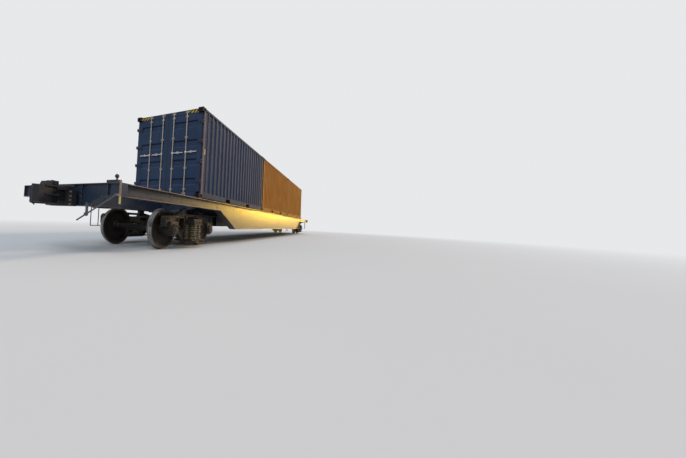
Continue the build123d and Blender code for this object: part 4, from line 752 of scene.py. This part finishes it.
def bolster_ends(name, centre):
    """Raised rims and ribs on the bolster's end faces, and bolts of the side bearings' wear plates."""
    low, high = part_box(f"bogie_{name}_bolster")
    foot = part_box(f"bogie_{name}_springs")[1].z
    top = AXLE_Z + BOLSTER_RISE
    middle = (foot + top) / 2
    half = (high.x - low.x) / 2
    rim = (0.028, top - foot - 0.006, 0.012)
    rib = (0.016, top - foot - 0.030, 0.010)
    bar = (2 * half - 0.06, 0.024, 0.012)
    shape = Shape()
    for way in (1, -1):
        shape.plate((centre + way * (half - 0.016), high.y, middle), BACK, UP, rim)
        shape.plate((centre + way * 0.075, high.y, middle), BACK, UP, rib)
    for level in (foot + 0.017, top - 0.017):
        shape.plate((centre, high.y, level), BACK, UP, bar)
    for x in (-0.100, 0.100):
        for y in (0.727, 0.797):
            shape.bolt((centre + x, y, high.z), UP, 0.016)
    shape.other_side()
    shape.piece(f"bogie_{name}_bolster_ends", "bogie_cast", f"bogie_{name}")


def brake_pins(name, centre):
    """Pins, hanger rods and keys of the brake shoes."""
    pin = [(0, 0.014), (0.052, 0.014), (0.052, 0.024), (0.062, 0.024)]
    key = [(0, 0.020), (0.012, 0.020), (0.016, 0.014)]
    shape = Shape()
    for way in (1, -1):
        x = centre + way * SHOE_X
        shape.turned_form((x, 0.862, AXLE_Z + 0.105), ACROSS, pin, 12)
        shape.tube([Vector((x, HANGER_Y, AXLE_Z + rise)) for rise in (0.10, 0.03, -0.05)], 0.010)
        shape.bolt((x, HANGER_Y, AXLE_Z - 0.05), ACROSS, 0.024)
        shape.turned_form((centre + way * 0.286, 0.014, AXLE_Z + 0.040), ACROSS, key, 14)
    shape.other_side()
    shape.piece(f"bogie_{name}_brake_pins", "bogie_cast", f"bogie_{name}")


# Car frame

# Places across the car's end, and levels over the striker's foot
GUSSET_PLACES = (0.455, 1.130)
GUSSET_HALF = 0.005
BEAM_FLANGE = 0.014
STRIKER_BOLT_Y = 0.300
STRIKER_BOLT_LEVELS = (0.030, 0.105, 0.180, 0.262)
BRACKET_RIVETS = (1.140, 1.200, 1.335)
ROD_BEARINGS = (1.345, 1.395)
CROWN_SIDE = 0.175
# Columns: distance behind the coupler's face, place across, height over its middle
COUPLER_PINS = (
    (0.110, 0.165, 0.150),
    (0.300, -0.060, 0.258),
    (0.300, 0.060, 0.258),
    (0.110, 0.165, -0.150),
    (0.300, -0.060, -0.150),
    (0.300, 0.060, -0.150),
)
LOCK_LEVER = (
    (0.120, -0.200, -0.06),
    (0.120, -0.236, -0.06),
    (0.140, -0.240, -0.150),
    (0.180, -0.240, -0.185),
)
# A seat's middle from the container's end, and its bolts from the seat's middle
SEAT_INSET = 0.1025
SEAT_BOLT_OFFSET = 0.062
# Middle lines of the air pipe, reservoir and brake cylinder
PIPE_Y = 0.400
PIPE_Z = DECK_Z - 0.2013
CLAMP_RADIUS = 0.026
VESSEL_Y = 0.640
TANK_Z = DECK_Z - 0.352
CYLINDER_Z = DECK_Z - 0.380
FLANGE_CIRCLE = 0.140


def beam_low(y):
    """Height of the end beam's lower edge at a distance from the middle."""
    share = min(max((abs(y) - BEAM_FLAT) / (BEAM_KNEE - BEAM_FLAT), 0), 1)
    return BEAM_LOW + share * (DECK_Z - SILL_SHALLOW - BEAM_LOW)


def end_details():
    """Gussets in the end beams, the strikers' bolts, the brackets' rivets and the rods' bearings."""
    shape = Shape()
    for y in GUSSET_PLACES:
        for way in (1, -1):
            foot = (CAR_HALF - 0.041, way * y - GUSSET_HALF, beam_low(y) + BEAM_FLANGE)
            top = (CAR_HALF - 0.004, way * y + GUSSET_HALF, DECK_Z - BEAM_FLANGE)
            shape.slab(foot, top)
    for level in STRIKER_BOLT_LEVELS:
        for way in (1, -1):
            shape.bolt((STRIKER_HIGH.x - 0.040, way * STRIKER_BOLT_Y, STRIKER_LOW.z + level), ALONG, 0.030)
    for y in BRACKET_RIVETS:
        shape.rivet((CAR_HALF - 0.045, y, DECK_Z + 0.048), UP, 0.022)
    # Bearing of the uncoupling rod at the corner
    for y in ROD_BEARINGS:
        shape.plate((CAR_HALF + 0.004, y, DECK_Z - 0.223), UP, ALONG, (0.060, 0.066, 0.007))
    shape.other_end()
    shape.piece("end_beam_details", "frame_blue", "root")


def coupler_details():
    """Pins, bolts, ribs and the lock's lever on the coupler heads."""
    shape = Shape()
    pin = [(-0.001, 0.030), (0.010, 0.030), (0.016, 0.020)]
    for behind, y, rise in COUPLER_PINS:
        shape.turned_form((FACE_X - behind, y, COUPLER_Z + rise), UP if rise > 0 else DOWN, pin, 18)
    # Flat bars down the crown's sides and along them, as of a ribbed casting
    for way in (1, -1):
        y = way * CROWN_SIDE
        for behind in (0.330, 0.265):
            shape.plate((FACE_X - behind, y, COUPLER_Z + 0.05), (-way, 0, 0), UP, (0.018, 0.380, 0.014))
        shape.plate((FACE_X - 0.265, y, COUPLER_Z + 0.135), (-way, 0, 0), UP, (0.140, 0.018, 0.012))
        for rise in (-0.10, 0.02, 0.19):
            shape.bolt((FACE_X - 0.297, y, COUPLER_Z + rise), (0, way, 0), 0.024)
    # Lock's lever on the near side of the head
    shape.tube([Vector((FACE_X - behind, y, COUPLER_Z + rise)) for behind, y, rise in LOCK_LEVER], 0.012)
    shape.other_end()
    shape.piece("coupler_details", "bogie_cast", "root")


def belly_line(rise):
    """Points along the fish-bellied lower edge of the side sills, raised by a little."""
    half = CAR_HALF - 0.20
    shallow = DECK_Z - SILL_SHALLOW + rise
    deep = SILL_LOW.z + rise
    near = [(-half, shallow), (-SLANT_START, shallow), (-SLANT_END, deep)]
    return near + [(-x, z) for x, z in reversed(near)]


def sill_welds():
    """Weld beads between the sills' webs and flanges, and butt welds at each bend and at mid length."""
    shape = Shape()
    y = SILL_WEB + 0.003
    line = belly_line(SILL_FLANGE)
    for (x0, z0), (x1, z1) in zip(line[:-1], line[1:]):
        shape.weld((x0, y, z0), (x1, y, z1))
    top = DECK_Z - SILL_FLANGE
    shape.weld((line[0][0], y, top), (line[-1][0], y, top))
    for x in (SLANT_START, -SLANT_START):
        shape.weld((x, y - 0.003, DECK_Z - SILL_SHALLOW + 0.03), (x, y - 0.003, top), 0.004)
    for x in (SLANT_END, -SLANT_END, 0):
        shape.weld((x, y - 0.003, SILL_LOW.z + 0.03), (x, y - 0.003, top), 0.004)
    shape.other_side()
    shape.piece("sill_welds", "frame_blue", "root")


def stop_bolts():
    """Bolts at the foot of each container seat."""
    low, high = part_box("container_stops")
    shape = Shape()
    for start in BOX_LOW:
        for x in (start.x + SEAT_INSET, start.x + BOX_LENGTH - SEAT_INSET):
            for offset in (SEAT_BOLT_OFFSET, -SEAT_BOLT_OFFSET):
                shape.bolt((x + offset, high.y - 0.012, low.z + 0.010), ACROSS, 0.020)
    shape.other_side()
    shape.piece("stop_bolts", "frame_blue", "root")


def brake_plumbing():
    """Clamps of the air pipe, its branches, bands of the reservoir and bolts of the cylinder's flange."""
    shape = Shape()
    for start in BOX_LOW:
        for share in (1, 2):
            x = start.x + BOX_LENGTH * share / 3
            clamp = []
            for angle in (-1.57, -0.8, 0.0, 0.8, 1.57):
                y = PIPE_Y + math.sin(angle) * CLAMP_RADIUS
                clamp.append(Vector((x, y, PIPE_Z - math.cos(angle) * CLAMP_RADIUS)))
            shape.tube(clamp, 0.006)
            shape.bolt((x + 0.03, PIPE_Y + 0.055, DECK_Z - 0.180), DOWN, 0.020)
    tank_x = BOX_LOW[1].x + BOX_LENGTH / 3
    cylinder_x = BOX_LOW[1].x + BOX_LENGTH * 2 / 3
    # Columns: place along the car, and points as place across and height over the main pipe
    branches = (
        (tank_x + 0.35, ((PIPE_Y, 0), (0.52, -0.01), (0.58, -0.05))),
        (cylinder_x - 0.60, ((PIPE_Y, 0), (0.30, -0.02), (0.23, -0.26))),
    )
    for x, line in branches:
        shape.tube([Vector((x, y, PIPE_Z + rise)) for y, rise in line], 0.012)
    ring = [(-0.012, 0.1535), (0.012, 0.1535)]
    for x in (tank_x - 0.30, tank_x + 0.30):
        shape.turned_form((x, VESSEL_Y, TANK_Z), ALONG, ring, 32)
    for index in range(8):
        angle = math.pi * (index + 0.5) / 4
        y = -VESSEL_Y + FLANGE_CIRCLE * math.cos(angle)
        shape.bolt((cylinder_x - 0.26, y, CYLINDER_Z + FLANGE_CIRCLE * math.sin(angle)), BACK, 0.026)
    shape.piece("brake_plumbing", "frame_blue", "root")


# Containers

# Distances of the seal's lip, front and back behind the end's outer face
LIP_FRONT = 0.0595
SEAL_FRONT = 0.0635
SEAL_BACK = 0.100
# The hinge bolts from the middle, a guide's bolts from its rod, the vents from the container's ends
HINGE_BOLTS = (1.070, 1.098, 1.126)
GUIDE_BOLT_OFFSET = 0.034
VENT_INSET = 0.457
# Height of the yellow plate's middle in the car's frame
PLATE_Z = 2.733


def door_gasket(number, side, body):
    """Rubber seal round one door leaf, with its lip on the leaf's face."""
    x0 = BOX_LOW[number - 1].x
    strips = (
        (SEAL_FRONT, SEAL_BACK, 0.0008, 0.0055, DOOR_LOW, DOOR_HIGH),
        (SEAL_FRONT, SEAL_BACK, LEAF_EDGE - 0.001, LEAF_EDGE + 0.0048, DOOR_LOW, DOOR_HIGH),
        (SEAL_FRONT, SEAL_BACK, LEAF_PLAY, LEAF_EDGE, DOOR_HIGH - 0.001, DOOR_HIGH + 0.005),
        (SEAL_FRONT, SEAL_BACK, LEAF_PLAY, LEAF_EDGE, DOOR_LOW - 0.005, DOOR_LOW + 0.001),
        (LIP_FRONT, SEAL_FRONT, 0.0008, 0.0170, DOOR_LOW, DOOR_HIGH),
        (LIP_FRONT, SEAL_FRONT, LEAF_EDGE - 0.014, LEAF_EDGE + 0.0040, DOOR_LOW, DOOR_HIGH),
        (LIP_FRONT, SEAL_FRONT, LEAF_PLAY, LEAF_EDGE, DOOR_HIGH - 0.012, DOOR_HIGH + 0.004),
        (LIP_FRONT, SEAL_FRONT, LEAF_PLAY, LEAF_EDGE, DOOR_LOW - 0.004, DOOR_LOW + 0.012),
    )
    shape = Shape()
    # Columns: front and back, inner and outer edge, low and high
    for xa, xb, ya, yb, za, zb in strips:
        shape.slab((x0 + xa, ya, BASE_Z + za), (x0 + xb, yb, BASE_Z + zb), 0.0006)
    if side < 0:
        shape.vertices = [(x, -y, z) for x, y, z in shape.vertices]
        shape.faces = [tuple(reversed(face)) for face in shape.faces]
    shape.piece(f"container{number}_gasket_{'left' if side > 0 else 'right'}", "rubber", body)


def door_hardware(number, side, body, paint):
    """Bolts of the hinge blades and rod guides, and the handles' hubs and catches."""
    x0 = BOX_LOW[number - 1].x
    word = "left" if side > 0 else "right"
    bolts = Shape()
    for level in HINGE_LEVELS:
        for y in HINGE_BOLTS:
            bolts.bolt((x0 + DOOR_FACE - 0.014, side * y, BASE_Z + level), BACK, 0.016)
    bolts.piece(f"container{number}_hinge_bolts_{word}", paint, body)
    fittings = Shape()
    handle_z = BASE_Z + HANDLE_LEVEL
    hub = [(-0.001, 0.026), (0.006, 0.026), (0.010, 0.020), (0.012, 0.008)]
    loop = [(0.022, -0.030), (0.010, -0.022), (0.010, 0.022), (0.022, 0.030)]
    stud = [(0, 0.016), (0.006, 0.014)]
    for y in ROD_PLACES:
        for level in GUIDE_LEVELS:
            for offset in (-GUIDE_BOLT_OFFSET, GUIDE_BOLT_OFFSET):
                fittings.bolt((x0 + 0.037, side * (y + offset), BASE_Z + level), BACK, 0.014)
        fittings.turned_form((x0 + 0.019, side * y, handle_z), BACK, hub, 20)
        catch = side * (y + HANDLE_CATCH)
        fittings.tube([Vector((x0 + x, catch, handle_z + z)) for x, z in loop], 0.005)
        fittings.turned_form((x0 + 0.016, catch, handle_z), BACK, stud, 14)
    fittings.piece(f"container{number}_rod_fittings_{word}", "galvanised", body)


def box_trim(number, paint):
    """Drip rail over the doors, roof corner plates and side vents."""
    x0 = BOX_LOW[number - 1].x
    x1 = x0 + BOX_LENGTH
    shape = Shape()
    shape.slab((x0 + 0.048, -1.050, TOP_Z - 0.014), (x0 + DOOR_FACE + 0.002, 1.050, TOP_Z - 0.010))
    near = (x0 + CASTING.x + 0.004, x0 + CASTING.x + 0.300)
    far = (x1 - CASTING.x - 0.300, x1 - CASTING.x - 0.004)
    for a, b in (near, far):
        shape.slab((a, 0.900, TOP_Z - 0.006), (b, 1.175, TOP_Z - 0.0008), 0.06)
        shape.slab((a, -1.175, TOP_Z - 0.006), (b, -0.900, TOP_Z - 0.0008), 0.06)
    shape.piece(f"container{number}_trim", paint, "root")
    vents = Shape()
    for x in (x0 + VENT_INSET, x1 - VENT_INSET):
        middle = (x, BOX_HALF - 0.009, TOP_Z - 0.190)
        vents.plate(middle, BACK, UP, (0.235, 0.090, 0.005), 0.012)
        for row in range(5):
            louvre = (x, BOX_HALF - 0.0042, TOP_Z - 0.218 + 0.014 * row)
            vents.plate(louvre, BACK, UP, (0.190, 0.006, 0.003), 0.002)
    vents.other_side()
    vents.piece(f"container{number}_vents", paint, "root")


def side_plate():
    """Small blank yellow plate beside the door post of the first container."""
    shape = Shape()
    middle = (BOX_LOW[0].x + 0.232, -(BOX_HALF - 0.026), PLATE_Z)
    shape.plate(middle, ALONG, UP, (0.062, 0.156, 0.003), 0.004)
    shape.piece("container1_side_plate", "yellow_plate", "root")


# Floor, light and camera

FLOOR_REACH = 400
# Columns: direction that the light comes from, strength, softness in degrees, colour
LAMPS = (
    ((0.80, -0.47, 0.40), 1.6, 11, (1.0, 0.77, 0.58)),
    ((0.962, -0.24, 0.08), 0.62, 6, (1.0, 0.60, 0.05)),
    ((-0.80, -0.28, 0.75), 1.6, 50, (0.87, 0.94, 1.0)),
)
SKY = (0.84, 0.91, 1.0)
SKY_STRENGTH = 0.42


def studio():
    """Pale floor just under the wheels, a pale surrounding, and three lamps: the warm evening sun,
    a low amber one whose glare the glossy sills show at the camera's own view, and a cool fill."""
    mesh = bpy.data.meshes.new("floor")
    reach = FLOOR_REACH
    corners = [(-reach, -reach), (reach, -reach), (reach, reach), (-reach, reach)]
    mesh.from_pydata([(x, y, -0.001) for x, y in corners], [], [(0, 1, 2, 3)])
    ground = bpy.data.objects.new("floor", mesh)
    mesh.materials.append(studio_floor())
    bpy.context.scene.collection.objects.link(ground)

    for number, (source, strength, softness, colour) in enumerate(LAMPS, start=1):
        lamp = bpy.data.lights.new(f"lamp_{number}", "SUN")
        lamp.energy = strength
        lamp.angle = math.radians(softness)
        lamp.color = colour
        holder = bpy.data.objects.new(f"lamp_{number}", lamp)
        holder.rotation_euler = Vector(source).to_track_quat("Z", "Y").to_euler()
        bpy.context.scene.collection.objects.link(holder)

    world = bpy.data.worlds.new("surroundings")
    world.use_nodes = True
    tree = world.node_tree
    background = tree.nodes["Background"]
    background.inputs["Color"].default_value = (*SKY, 1)
    background.inputs["Strength"].default_value = SKY_STRENGTH
    seen = tree.nodes.new("ShaderNodeBackground")
    seen.inputs["Color"].default_value = (*BACKDROP, 1)
    path = tree.nodes.new("ShaderNodeLightPath")
    direct = tree.nodes.new("ShaderNodeMath")
    direct.operation = "MAXIMUM"
    tree.links.new(path.outputs["Is Camera Ray"], direct.inputs[0])
    tree.links.new(path.outputs["Is Transmission Ray"], direct.inputs[1])
    blend = tree.nodes.new("ShaderNodeMixShader")
    tree.links.new(direct.outputs[0], blend.inputs[0])
    tree.links.new(background.outputs[0], blend.inputs[1])
    tree.links.new(seen.outputs[0], blend.inputs[2])
    tree.links.new(blend.outputs[0], tree.nodes["World Output"].inputs["Surface"])
    bpy.context.scene.world = world
    bpy.context.scene.view_settings.view_transform = "Standard"


# Camera fitted to marks on the containers, sill, end beam, coupler and wheels in the photograph
CAMERA_PLACE = (-15.518, -4.887, 0.739)
CAMERA_YAW = 26.93
CAMERA_PITCH = 2.87
CAMERA_ROLL = 2.72
CAMERA_LENS = 13.90
CAMERA_SHIFT = (0.190, -0.030)


def camera():
    """Camera at the photograph's own place."""
    lens = bpy.data.cameras.new("camera")
    lens.sensor_width = 36
    lens.lens = CAMERA_LENS
    lens.shift_x, lens.shift_y = CAMERA_SHIFT
    lens.clip_end = 1000
    holder = bpy.data.objects.new("camera", lens)
    level = Euler((math.radians(90 + CAMERA_PITCH), 0, math.radians(CAMERA_YAW - 90)))
    turn = level.to_matrix() @ Matrix.Rotation(math.radians(CAMERA_ROLL), 3, "Z")
    holder.location = CAMERA_PLACE
    holder.rotation_euler = turn.to_euler()
    bpy.context.scene.collection.objects.link(holder)
    bpy.context.scene.camera = holder


dress_nodes()
camera()
for bogie, end in (("a", -1), ("b", 1)):
    bogie_springs(bogie, end * PIVOT_X)
    bogie_bolts(bogie, end * PIVOT_X)
    bolster_ends(bogie, end * PIVOT_X)
    brake_pins(bogie, end * PIVOT_X)
end_details()
coupler_details()
sill_welds()
stop_bolts()
brake_plumbing()
for container, coat_name in ((1, "container_blue"), (2, "container_orange"), (3, "container_orange")):
    for door_side, door_body in ((1, "door_left"), (-1, "door_right")):
        rider = door_body if container == 1 else "root"
        door_gasket(container, door_side, rider)
        door_hardware(container, door_side, rider, coat_name)
    box_trim(container, coat_name)
side_plate()
studio()
